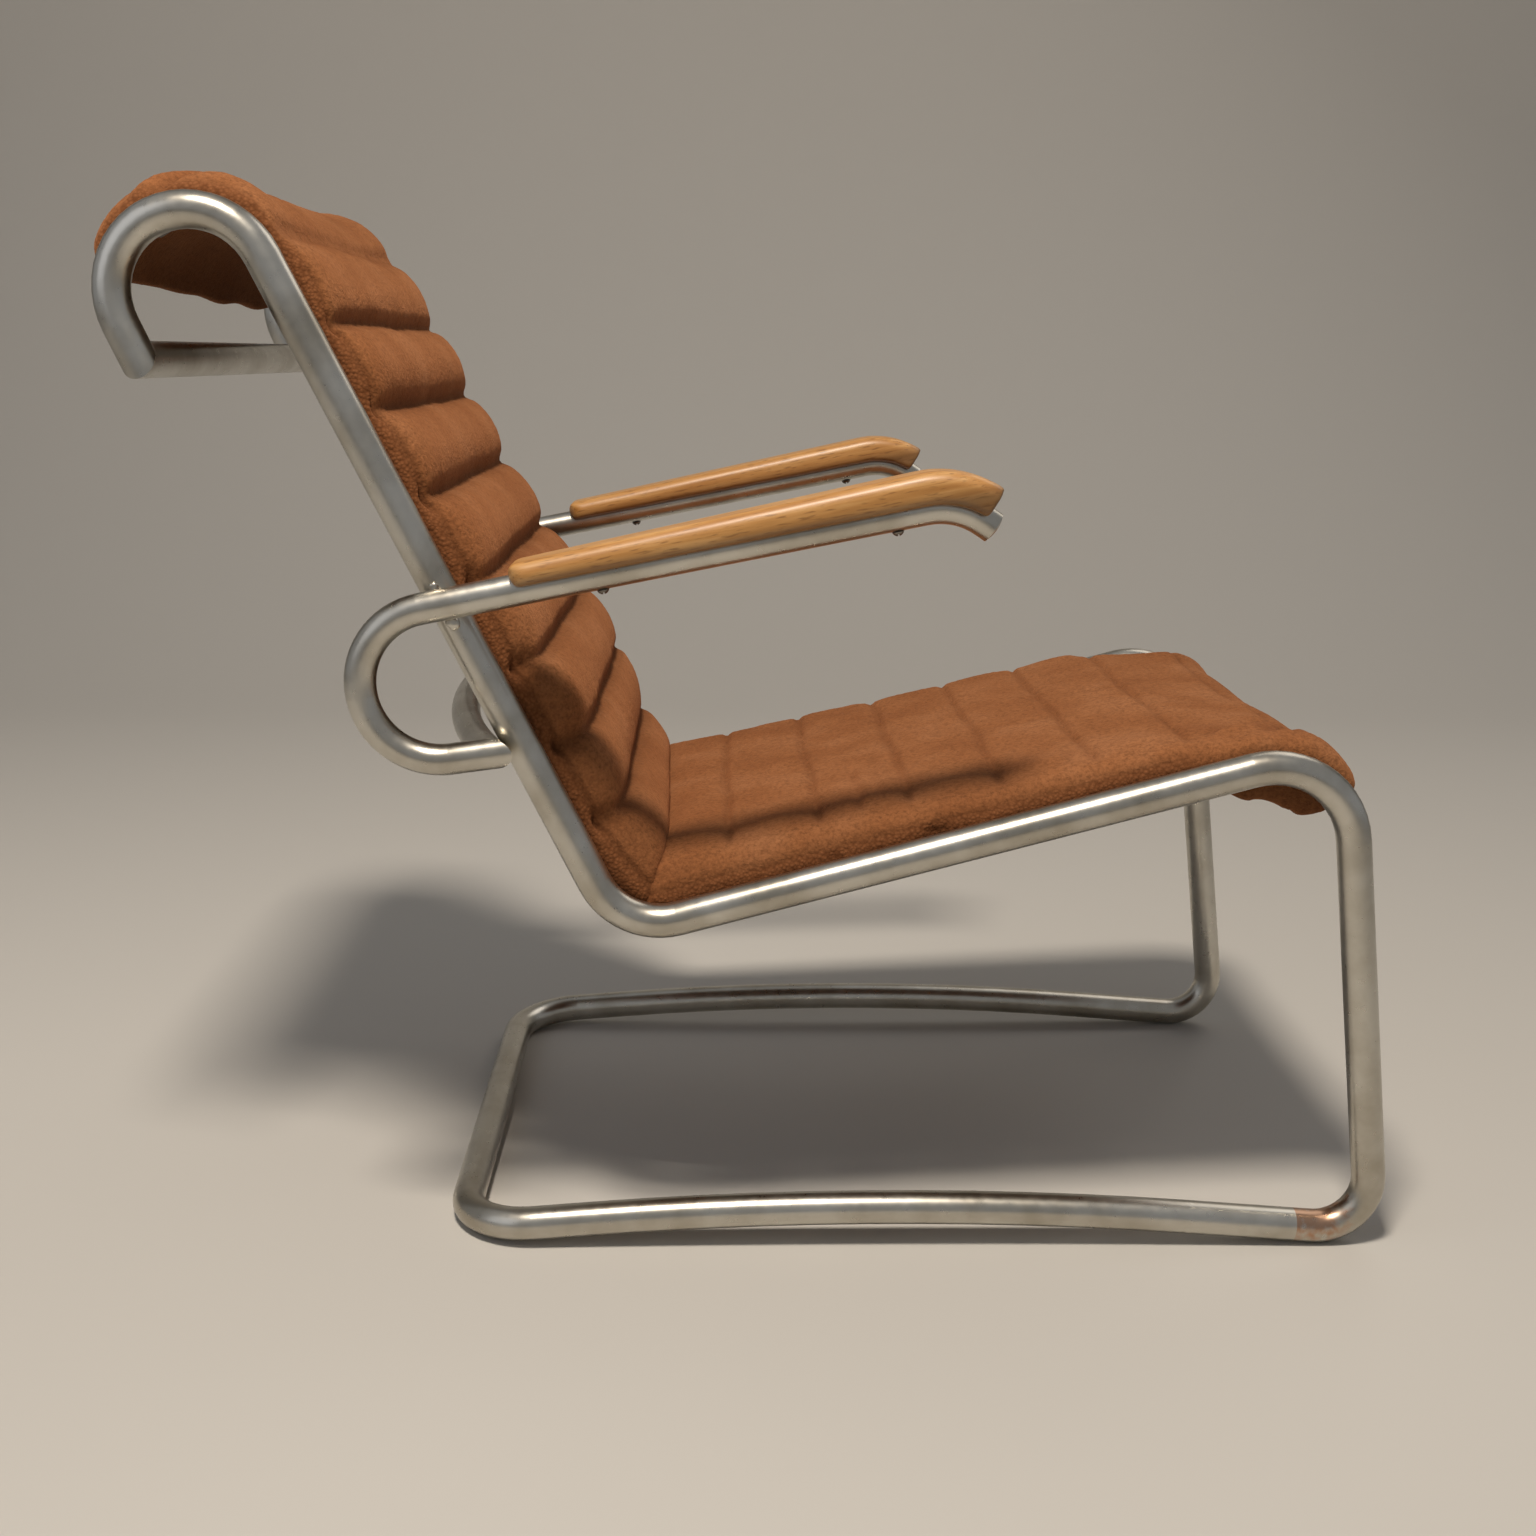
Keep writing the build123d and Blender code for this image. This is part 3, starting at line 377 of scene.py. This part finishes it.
def softCopy(name, node, material, weld, voxel, rounds):       # an evenly meshed, softened copy of a node
    piece = bpy.data.objects.new(name, nodes[node].data.copy())
    bpy.context.collection.objects.link(piece)
    piece.data.materials.clear()
    piece.data.materials.append(material)
    useOnly(piece)
    bpy.ops.object.mode_set(mode="EDIT")
    bpy.ops.mesh.select_all(action="SELECT")
    bpy.ops.mesh.remove_doubles(threshold=weld)
    bpy.ops.object.mode_set(mode="OBJECT")
    remesh = piece.modifiers.new("even mesh", "REMESH")
    remesh.mode, remesh.voxel_size = "VOXEL", voxel
    smooth = piece.modifiers.new("soften", "SMOOTH")
    smooth.factor, smooth.iterations = 0.5, rounds
    applyAll(piece)
    return piece


def share(value, low, high):   # 0 below, 1 above, smooth between
    part = min(max((value - low) / (high - low), 0.0), 1.0)
    return part * part * (3 - 2 * part)


def ridge(value, middle, width):       # 1 at the middle, fading to both sides
    return math.exp(-((value - middle) / width) ** 2)


# upper end of the back pad: higher over the rear of the head hook, its hem lower on the left
head = {
    "hump": 0.0036,
    "humpWay": 0.635,
    "humpWidth": 0.030,
    "hemDrop": 0.008,
    "hemWay": (0.612, 0.650),
    "hemSide": (-0.20, 0.12),
    "hemWave": 0.2,            # share of the drop that comes and goes along the hem
    "hemTurns": 55,
}


def headForm(point, way, height):      # extra rise of the face, shift of face and walls
    hang = share(way, *head["hemWay"]) * share(point.y, *head["hemSide"])
    drop = hang * head["hemDrop"] * (1 + head["hemWave"] * math.sin(point.y * head["hemTurns"]))
    return head["hump"] * ridge(way, head["humpWay"], head["humpWidth"]), Vector((0, 0, -drop))


# front end of the seat pad: the left edge lies low beside the bend, the flap hangs as a short round lobe
front = {
    "dip": 0.0100,
    "dipInset": (0.045, 0.015),
    "dipFrom": (0.42, 0.455),
    "dipTo": (0.49, 0.53),
    "rearLift": 0.013,         # of the flap behind the lobe
    "rearDepth": (0.008, 0.020),
    "rearFrom": (0.405, 0.435),
    "rearTo": (0.450, 0.474),
    "lobeLift": 0.006,
    "lobeDepth": (0.038, 0.050),
    "lobeFrom": (0.485, 0.500),
    "lobeUnder": (0.0, 0.010),
    "pull": 0.006,             # the lobe's underside lies further back
    "pullUnder": (0.016, 0.025),
    "pullFrom": (0.43, 0.46),
}


def frontForm(point, way, height):     # extra rise of the face, shift of face and walls
    dip = front["dip"] * share(point.y, *(padHalf - inset for inset in front["dipInset"]))
    dip *= share(way, *front["dipFrom"]) * (1 - share(way, *front["dipTo"]))
    ahead, depth = (point - seatCorner).dot(alongSeat), (seatCorner - point).dot(aboveSeat)
    rear = share(depth, *front["rearDepth"]) * share(ahead, *front["rearFrom"])
    rear *= 1 - share(ahead, *front["rearTo"])
    lobe = share(depth, *front["lobeDepth"]) * share(ahead, *front["lobeFrom"])
    lobe *= share(-height, *front["lobeUnder"])
    pull = front["pull"] * share(-height, *front["pullUnder"]) * share(way, *front["pullFrom"])
    return -dip, aboveSeat * (front["rearLift"] * rear + front["lobeLift"] * lobe) - alongSeat * pull


backPad = {
    "node": "back_pad",
    "place": backPlace,
    "form": headForm,
    "seams": [0.078, 0.140, 0.204, 0.271, 0.338, 0.404, 0.468, 0.53325],
    "pressure": 4.0,
    "cap": 0.003,              # the filling moves no point further
    "seamDepth": 0.0050,
    "seamWidth": 0.0060,
    "seamShade": 0.40,
    "wander": 0.0025,          # of the seams
    "crown": 0.0022,           # swell of the rolls between the seams
    "edgeCrown": 0.0,          # and more of it near the right side
    "wallCut": 0.0048,         # how far the seams draw the side walls in
    "seamFoot": (0.013, 0.021),    # the seams run out between these heights on the walls
    "nearFade": (-0.002, -0.001),  # and between these distances from the right and the left side
    "farFade": (-0.002, -0.001),
    "bandTop": 0.0215,         # height of the seam over the terry band
    "bandEnd": (0.70, 0.75),   # way along the pad at which the band ends
    "weltDepth": 0.0025,       # of that seam
    "fuzzyFace": 0.18,         # how much of the loops shows on the face, and on the walls above the band
    "fuzzyWall": 0.50,
    "edgeGaps": [],
    "lumps": 0.0010,
    "puckers": 0.0012,
    "folds": [(0.614, -0.232, 0.566, -0.150, 0.0075, 0.0050), (0.500, -0.150, 0.512, 0.060, 0.0012, 0.010),
              (0.545, -0.100, 0.560, 0.120, 0.0014, 0.012)],
}
seatPad = {
    "node": "seat_pad",
    "place": seatPlace,
    "form": frontForm,
    "seams": [0.090 + 0.06945 * k for k in range(7)],
    "pressure": 2.0,
    "cap": 0.0015,
    "seamDepth": 0.0026,
    "seamWidth": 0.0032,
    "seamShade": 0.22,
    "wander": 0.0045,
    "crown": -0.0020,
    "edgeCrown": 0.0035,
    "wallCut": 0.0,
    "seamFoot": (0.005, 0.012),
    "nearFade": (0.014, 0.034),
    "farFade": (0.001, 0.006),
    "bandTop": 0.0190,
    "bandEnd": (0.40, 0.47),
    "weltDepth": 0.0008,
    "fuzzyFace": 0.18,
    "fuzzyWall": 0.40,
    "edgeGaps": [(0.239, 0.010, 0.0036), (0.163, 0.005, 0.0020)],    # where the right edge leaves the tube
    "lumps": 0.0012,
    "puckers": 0.0006,
    "folds": [(0.191, -0.195, 0.193, -0.060, 0.0022, 0.004), (0.205, -0.150, 0.214, -0.020, 0.0012, 0.005),
              (0.385, 0.035, 0.445, 0.020, 0.0014, 0.006), (0.400, -0.060, 0.470, -0.045, 0.0016, 0.007),
              (0.310, -0.020, 0.365, -0.035, 0.0012, 0.007), (0.450, -0.185, 0.500, -0.130, 0.0032, 0.006),
              (0.485, -0.195, 0.530, -0.120, 0.0028, 0.006), (0.345, -0.188, 0.362, -0.140, 0.0024, 0.005)],
}
filling = {"quality": 5, "mass": 0.3, "stiffness": 15, "bending": 0.6, "steps": 20}


def swell(piece, pad, sewn):
    group = piece.vertex_groups.new(name="sewn")
    group.add(sewn, 1.0, "REPLACE")
    cloth = piece.modifiers.new("filling", "CLOTH")
    cloth.settings.quality = filling["quality"]
    cloth.settings.mass = filling["mass"]
    cloth.settings.tension_stiffness = cloth.settings.compression_stiffness = filling["stiffness"]
    cloth.settings.bending_stiffness = filling["bending"]
    cloth.settings.use_pressure = True
    cloth.settings.uniform_pressure_force = pad["pressure"]
    cloth.settings.vertex_group_mass = "sewn"
    cloth.settings.effector_weights.gravity = 0
    cloth.collision_settings.use_collision = False
    for step in range(1, filling["steps"] + 1):
        bpy.context.scene.frame_set(step)
    filled = piece.evaluated_get(bpy.context.evaluated_depsgraph_get())
    moved = [v.co.copy() for v in filled.data.vertices]
    piece.modifiers.remove(cloth)
    bpy.context.scene.frame_set(1)
    for vertex, target in zip(piece.data.vertices, moved):
        move = target - vertex.co
        vertex.co += move * min(1.0, pad["cap"] / max(move.length, 1e-9))


# cross-section and ends of a fold: a lip rises beside its furrow, counted in widths of the fold
crimp = {"lip": 0.4, "lipAt": 1.6, "reach": 3, "runOut": 0.01, "runIn": 0.02}


def foldDepth(folds, way, y):  # each fold runs from one place on the pad to another and fades at both ends
    depth = 0.0
    before, after = crimp["runOut"], crimp["runIn"]
    for wayA, yA, wayB, yB, deep, wide in folds:
        length = math.hypot(wayB - wayA, yB - yA)
        along = ((way - wayA) * (wayB - wayA) + (y - yA) * (yB - yA)) / length
        off = ((way - wayA) * (yB - yA) - (y - yA) * (wayB - wayA)) / length
        if -before < along < length + before and abs(off) < crimp["reach"] * wide:
            ends = share(along, -before, after) * (1 - share(along, length - after, length + before))
            lip = crimp["lip"] * ridge(off, crimp["lipAt"] * wide, wide)
            depth += deep * ends * (ridge(off, 0, wide) - lip)
    return depth


# what both covers share; a noise is given by its waves per metre, with a seed where it is flat
cover = {
    "weld": 0.00005,
    "voxel": 0.005,
    "softening": 4,
    "sewnHeight": 0.010,       # the filling moves nothing lower than this, or this near to a seam
    "sewnGap": 0.004,
    "topFoot": (0.005, 0.016),     # heights over which the face begins
    "wallTurn": (0.35, 0.85),      # sideways part of the normal over which a wall begins
    "seamNoise": (8, 9, 1.7),      # along, across
    "puckerNoise": (70, 25, 3.1),  # across, along
    "puckerReach": 0.014,
    "lumpNoise": (14, 38, 26),     # broad, fine, where the seams have run out
    "fineLumps": 0.5,
    "edgeLumps": 1.6,
    "edgeInset": 0.042,            # middle and width of the extra swell near the right side
    "edgeWidth": 0.020,
    "crownGap": (0.0, 0.03),       # the rolls swell over these distances from seam and side
    "crownInset": (0.0, 0.04),
    "cutReach": 0.011,
    "weltWidth": 0.0024,
    "bandBlur": (-0.003, 0.002),   # the band's upper end, from its seam
    "gapTop": (0.010, 0.018),      # the edge gaps end between these heights
    "loopFuzz": 0.0007,
    "loopNoise": 260,
    "pileFuzz": 0.0003,
    "pileNoise": 330,
    "shadeSpread": 1.2,            # shade of a seam, in widths of it
    "foldShade": 60,               # darkening per metre of depth
    "weltShade": 120,
    "footShade": 0.50,
}
# the pads press together in the crease, which bows forward on the right, more so low down
crease = {
    "press": 0.0030,
    "pressReach": (0.0, 0.02),
    "bow": 0.007,
    "bowLow": 0.004,
    "lowTo": (0.016, 0.054),
    "bowSide": (-0.12, 0.20),
    "bowWidth": 0.030,
    "shade": 0.5,
    "shadeReach": (0.0, 0.005),
}


def sew(piece, pad):           # seams, folds, lumps, the terry band on the sides, where painted shade lies
    # the first attribute holds where painted shade lies: 1 where none, 0 in full painted shade
    nap = piece.data.attributes.new("nap", "FLOAT", "POINT")
    terry = piece.data.attributes.new("terry", "FLOAT", "POINT")
    normals = [vertex.normal.copy() for vertex in piece.data.vertices]
    for vertex, normal in zip(piece.data.vertices, normals):
        point = vertex.co.copy()
        onRight = point.y < 0
        way, height, outward = pad["place"](point)
        inset = padHalf - abs(point.y)
        top = share(height, *cover["topFoot"])
        wall = share(abs(normal.y), *cover["wallTurn"])
        fade = share(inset, *(pad["nearFade"] if onRight else pad["farFade"]))
        fade *= share(height, *pad["seamFoot"])
        # the face, moved outward
        along, aside, seed = cover["seamNoise"]
        wobble = pad["wander"] * noise.noise(Vector((way * along, point.y * aside, seed)))
        gap = min(abs(way + wobble - seam) for seam in pad["seams"])
        groove = ridge(gap, 0, pad["seamWidth"]) * fade
        aside, along, seed = cover["puckerNoise"]
        pucker = noise.noise(Vector((point.y * aside, way * along, seed)))
        pucker *= ridge(gap, 0, cover["puckerReach"]) * fade
        broad, fine, edge = (noise.noise(point * waves) for waves in cover["lumpNoise"])
        lump = broad + cover["fineLumps"] * fine + cover["edgeLumps"] * (1 - fade) * edge
        rise = pad["lumps"] * lump + pad["puckers"] * pucker - pad["seamDepth"] * groove
        nearEdge = ridge(inset, cover["edgeInset"], cover["edgeWidth"]) if onRight else 0.0
        crown = pad["crown"] + pad["edgeCrown"] * nearEdge
        rise += crown * share(gap, *cover["crownGap"]) * share(inset, *cover["crownInset"])
        fold = foldDepth(pad["folds"], way, point.y) * fade
        lift, shift = pad["form"](point, way, height)
        # the walls, moved along their normals
        cut = pad["wallCut"] * ridge(gap, 0, cover["cutReach"]) * fade * wall
        for place, width, deep in pad["edgeGaps"] if onRight else []:
            cut += deep * ridge(way, place, width) * wall * (1 - share(height, *cover["gapTop"]))
        # the terry band on the walls: looped cloth, darkened partly as painted shade
        band = wall * (1 - share(way, *pad["bandEnd"]))
        welt = ridge(height, pad["bandTop"], cover["weltWidth"]) * band
        loopsAndShade = band * (1 - share(height - pad["bandTop"], *cover["bandBlur"]))
        loopsAndShade = max(loopsAndShade, pad["fuzzyFace"] + (pad["fuzzyWall"] - pad["fuzzyFace"]) * band)
        fuzz = cover["loopFuzz"] * loopsAndShade * noise.noise(point * cover["loopNoise"])
        fuzz += cover["pileFuzz"] * noise.noise(point * cover["pileNoise"])
        vertex.co += outward * (rise + lift - fold) * top + normal * (fuzz - pad["weltDepth"] * welt - cut)
        vertex.co += shift
        # the crease
        across = (point - seatCorner).dot(creaseAcross)
        press = crease["press"] * (1 - share(abs(across), *crease["pressReach"]))
        vertex.co -= creaseAcross * math.copysign(press, across)
        low = 1 - share((point - seatCorner).dot(creaseUp), *crease["lowTo"])
        bow = (crease["bow"] + crease["bowLow"] * low) * (1 - share(point.y, *crease["bowSide"]))
        vertex.co += alongSeat * bow * ridge(across, 0, crease["bowWidth"])
        # painted shade, none at 1: dark in seams, folds, welts, low on the walls and in the crease
        shaded = pad["seamShade"] * ridge(gap, 0, cover["shadeSpread"] * pad["seamWidth"]) * fade * top
        shaded += cover["foldShade"] * max(fold, 0.0) + cover["weltShade"] * pad["weltDepth"] * welt
        shaded += cover["footShade"] * (1 - top)
        shaded += crease["shade"] * (1 - share(abs(across), *crease["shadeReach"]))
        nap.data[vertex.index].value = max(0.0, 1 - shaded)
        terry.data[vertex.index].value = loopsAndShade


def makePad(name, pad):
    piece = softCopy(name, pad["node"], plush, cover["weld"], cover["voxel"], cover["softening"])
    sewn = []
    for vertex in piece.data.vertices:
        way, height = pad["place"](vertex.co)[:2]
        gap = min(abs(way - seam) for seam in pad["seams"])
        if height < cover["sewnHeight"] or gap < cover["sewnGap"]:
            sewn.append(vertex.index)
    swell(piece, pad, sewn)
    finer = piece.modifiers.new("finer", "SUBSURF")
    finer.levels = finer.render_levels = 1
    applyAll(piece)
    sew(piece, pad)
    for vertex in piece.data.vertices:      # the tubes hold the sides in
        vertex.co.y = max(-padHalf, min(padHalf, vertex.co.y))
    bpy.ops.object.shade_smooth()
    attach(piece, "root")
    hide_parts(pad["node"])
    print(name, "made,", len(piece.data.polygons), "faces")


makePad("backPadPlush", backPad)
makePad("seatPadPlush", seatPad)

rest = {"weld": 0.00002, "voxel": 0.0016, "softening": 14}     # years of hands have rounded every edge
for name, node in (("armrestRightOak", "armrest_right"), ("armrestLeftOak", "armrest_left")):
    piece = softCopy(name, node, oak, rest["weld"], rest["voxel"], rest["softening"])
    bpy.ops.object.shade_smooth()
    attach(piece, "root")
    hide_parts(node)
    print(name, "made,", len(piece.data.polygons), "faces")

# drops of braze, plated over, where the arm tubes cross the back
braze = {
    "drops": ((-0.0152, 1.0), (0.0118, 0.7)),  # way along the back from the crossing, size
    "radius": 0.0045,
    "stretch": (1.1, 0.8, 1.3),
    "reach": 0.2382,           # y of the drops
    "uneven": 0.0006,
    "waves": 300,              # per metre
    "seed": 900,
}
drops = []
for side in (-1, 1):
    for way, size in braze["drops"]:
        bpy.ops.object.select_all(action="DESELECT")
        bpy.ops.mesh.primitive_ico_sphere_add(subdivisions=4, radius=braze["radius"] * size)
        drop = bpy.context.object
        bpy.ops.object.mode_set(mode="EDIT")
        bpy.ops.transform.resize(value=braze["stretch"])
        bpy.ops.object.mode_set(mode="OBJECT")
        for vertex in drop.data.vertices:   # the braze ran and set unevenly
            spot = vertex.co * braze["waves"] + Vector((side, way * braze["seed"], 0))
            vertex.co += vertex.normal * braze["uneven"] * noise.noise(spot)
        lean = Matrix.Rotation(math.radians(chair["backSlope"] - 90), 4, "Y")
        place = armCrossing + alongBack * way + Vector((0, side * braze["reach"], 0))
        drop.data.transform(Matrix.Translation(place) @ lean)
        drops.append(drop)
bpy.ops.object.select_all(action="DESELECT")
for drop in drops:
    drop.select_set(True)
bpy.context.view_layer.objects.active = drops[0]
bpy.ops.object.join()
brazeDrops = bpy.context.object
brazeDrops.name = "brazeDrops"
brazeDrops.data.materials.append(nickel)
bpy.ops.object.shade_smooth()
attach(brazeDrops, "root")
print(len(drops), "drops of braze set")

strap = {
    "length": 0.410,
    "width": 0.040,
    "thickness": 0.0018,
    "headRadius": 0.0487,      # middle of the curved straps, from the hook's centre
    "headSteps": 14,
    "weld": 0.00001,
    "wander": 0.0006,
    "waves": (30, 9, 50),      # noise per metre along and across the strap, and from strap to strap
    "selvedge": 0.0005,
}
strapNodes = sorted(name for name in nodes if "_strap_" in name)


def flatStrap(name, node):
    low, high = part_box(node)
    padAngle = chair["seatSlope"] + 90 if node.startswith("seat") else hookStart
    bpy.ops.mesh.primitive_grid_add(x_subdivisions=8, y_subdivisions=40, size=1)
    piece = bpy.context.object
    piece.name = name
    bpy.ops.object.mode_set(mode="EDIT")
    bpy.ops.transform.resize(value=(strap["width"], strap["length"], 1))
    bpy.ops.object.mode_set(mode="OBJECT")
    for vertex in piece.data.vertices:      # loose threads let the edges wander a little
        spot = Vector((vertex.co.y, vertex.co.x, low.x)) * Vector(strap["waves"])
        vertex.co.x += strap["wander"] * noise.noise(spot)
    thick = piece.modifiers.new("thickness", "SOLIDIFY")
    thick.thickness, thick.offset = strap["thickness"], 0
    soft = piece.modifiers.new("selvedge", "BEVEL")
    soft.width, soft.segments, soft.limit_method = strap["selvedge"], 2, "ANGLE"
    applyAll(piece)
    turn = Matrix.Rotation(math.radians(90 - padAngle), 4, "Y")
    piece.data.transform(Matrix.Translation((low + high) / 2) @ turn)
    return piece


def headStrap(name, node):
    low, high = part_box(node)
    middle = (low + high) / 2 - hookCentre
    padAngle = math.degrees(math.atan2(middle.z, middle.x))
    turn = strap["width"] / strap["headRadius"]
    start = padAngle - math.degrees(turn) / 2
    bpy.ops.mesh.primitive_plane_add(size=1)
    piece = bpy.context.object
    piece.name = name
    bpy.ops.object.mode_set(mode="EDIT")
    bpy.ops.transform.resize(value=(strap["thickness"], strap["length"], 1))
    bpy.ops.mesh.subdivide(number_cuts=1)
    bpy.ops.object.mode_set(mode="OBJECT")
    piece.data.transform(Matrix.Translation(hookCentre + heading(start) * strap["headRadius"])
                         @ Matrix.Rotation(math.radians(-start), 4, "Y"))
    bpy.ops.object.mode_set(mode="EDIT")
    bpy.ops.mesh.select_all(action="SELECT")
    bpy.ops.mesh.spin(steps=strap["headSteps"], angle=turn, center=hookCentre, axis=(0, -1, 0))
    bpy.ops.mesh.select_all(action="SELECT")
    bpy.ops.mesh.remove_doubles(threshold=strap["weld"])
    bpy.ops.mesh.normals_make_consistent(inside=False)
    bpy.ops.object.mode_set(mode="OBJECT")
    return piece


for node in strapNodes:
    name = "".join(part.capitalize() for part in node.split("_")) + "Web"
    name = name[0].lower() + name[1:]
    bpy.ops.object.select_all(action="DESELECT")
    piece = headStrap(name, node) if node.startswith("head") else flatStrap(name, node)
    piece.data.materials.clear()
    piece.data.materials.append(webbing)
    useOnly(piece)
    bpy.ops.object.shade_smooth_by_angle(angle=math.radians(40))
    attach(piece, "root")
    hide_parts(node)
print(len(strapNodes), "straps woven")

# studio: floor that curves up into a backdrop, soft lamps, grey surroundings
studio = {
    "floorSize": 14.0,
    "wallY": 3.2,
    "wallHeight": 5.0,
    "bend": 1.4,
    "aim": (0, 0, 0.35),       # where all lamps point
    "air": "#C6C8CC",
    "airLight": 0.22,          # strength as light on the chair, and where seen or mirrored
    "airSeen": 0.50,
}
bpy.ops.object.select_all(action="DESELECT")
bpy.ops.mesh.primitive_plane_add(size=studio["floorSize"],
                                 location=(0, studio["wallY"] - studio["floorSize"] / 2, 0))
floor = bpy.context.object
floor.name = "studioFloor"
bpy.ops.object.transform_apply(location=True)
bpy.ops.object.mode_set(mode="EDIT")
bpy.ops.mesh.select_all(action="DESELECT")
bpy.ops.object.mode_set(mode="OBJECT")
for edge in floor.data.edges:
    edge.select = all(floor.data.vertices[i].co.y > studio["wallY"] - 0.01 for i in edge.vertices)
bpy.ops.object.mode_set(mode="EDIT")
bpy.ops.mesh.select_mode(type="EDGE")
bpy.ops.mesh.extrude_region_move(TRANSFORM_OT_translate={"value": (0, 0, studio["wallHeight"])})
bpy.ops.object.mode_set(mode="OBJECT")
cove = floor.modifiers.new("cove", "BEVEL")
cove.width, cove.segments, cove.limit_method = studio["bend"], 16, "ANGLE"
applyAll(floor)
bpy.ops.object.shade_smooth()
floor.data.materials.append(floorMaterial())

lamps = [
    {"name": "keyLamp", "at": (-0.30, -1.15, 2.85), "size": 0.45, "watts": 70, "colour": "#FFF4E6"},
    {"name": "fillLamp", "at": (-2.2, -1.8, 1.8), "size": 2.2, "watts": 8, "colour": "#F2F5FF"},
    {"name": "rearLamp", "at": (1.6, 1.6, 2.6), "size": 1.6, "watts": 10, "colour": "#FFF8F0"},
]
for lamp in lamps:
    light = bpy.data.lights.new(lamp["name"], "AREA")
    light.size, light.energy = lamp["size"], lamp["watts"]
    light.color = linear(lamp["colour"])[:3]
    holder = bpy.data.objects.new(lamp["name"], light)
    bpy.context.collection.objects.link(holder)
    holder.location = lamp["at"]
    holder.rotation_euler = (Vector(studio["aim"]) - Vector(lamp["at"])).to_track_quat("-Z", "Y").to_euler()
world = bpy.data.worlds.new("studioAir")
world.use_nodes = True
air = world.node_tree
air.nodes.clear()
path = addNode(air, "LightPath")
seen = addNode(air, "Math", {"operation": "MAXIMUM"},
               {0: path.outputs["Is Camera Ray"], 1: path.outputs["Is Glossy Ray"]})
level = addNode(air, "MapRange", {"To Min": studio["airLight"], "To Max": studio["airSeen"]},
                {"Value": seen.outputs["Value"]})
glow = addNode(air, "Background", {"Color": linear(studio["air"])}, {"Strength": level.outputs["Result"]})
addNode(air, "OutputWorld", {}, {"Surface": glow.outputs["Background"]})
bpy.context.scene.world = world

# camera solved from the photo's tube lines: a 41 mm view of a square frame
view = {"x": 0.1925, "y": -1.4366, "z": 0.6562, "pitch": 13.26, "yaw": 1.73, "roll": 0.65, "lens": 41.0}
pitch, yaw, roll = (math.radians(view[k]) for k in ("pitch", "yaw", "roll"))
forward = Vector((math.sin(yaw) * math.cos(pitch), math.cos(yaw) * math.cos(pitch), -math.sin(pitch)))
sideways = Vector((math.cos(yaw), -math.sin(yaw), 0))
upright = sideways.cross(forward)
right = sideways * math.cos(roll) + upright * math.sin(roll)
up = upright * math.cos(roll) - sideways * math.sin(roll)
camera = bpy.data.objects.new("photoCamera", bpy.data.cameras.new("photoCamera"))
bpy.context.collection.objects.link(camera)
camera.data.lens, camera.data.sensor_width, camera.data.sensor_fit = view["lens"], 36.0, "HORIZONTAL"
camera.data.clip_start, camera.data.clip_end = 0.05, 50
camera.matrix_world = Matrix.Translation((view["x"] + chair["rearTubeX"], view["y"], view["z"])) @ Matrix(
    (right, up, -forward)).transposed().to_4x4()
bpy.context.scene.camera = camera
bpy.context.scene.view_settings.view_transform = "Standard"
print("studio and camera set")
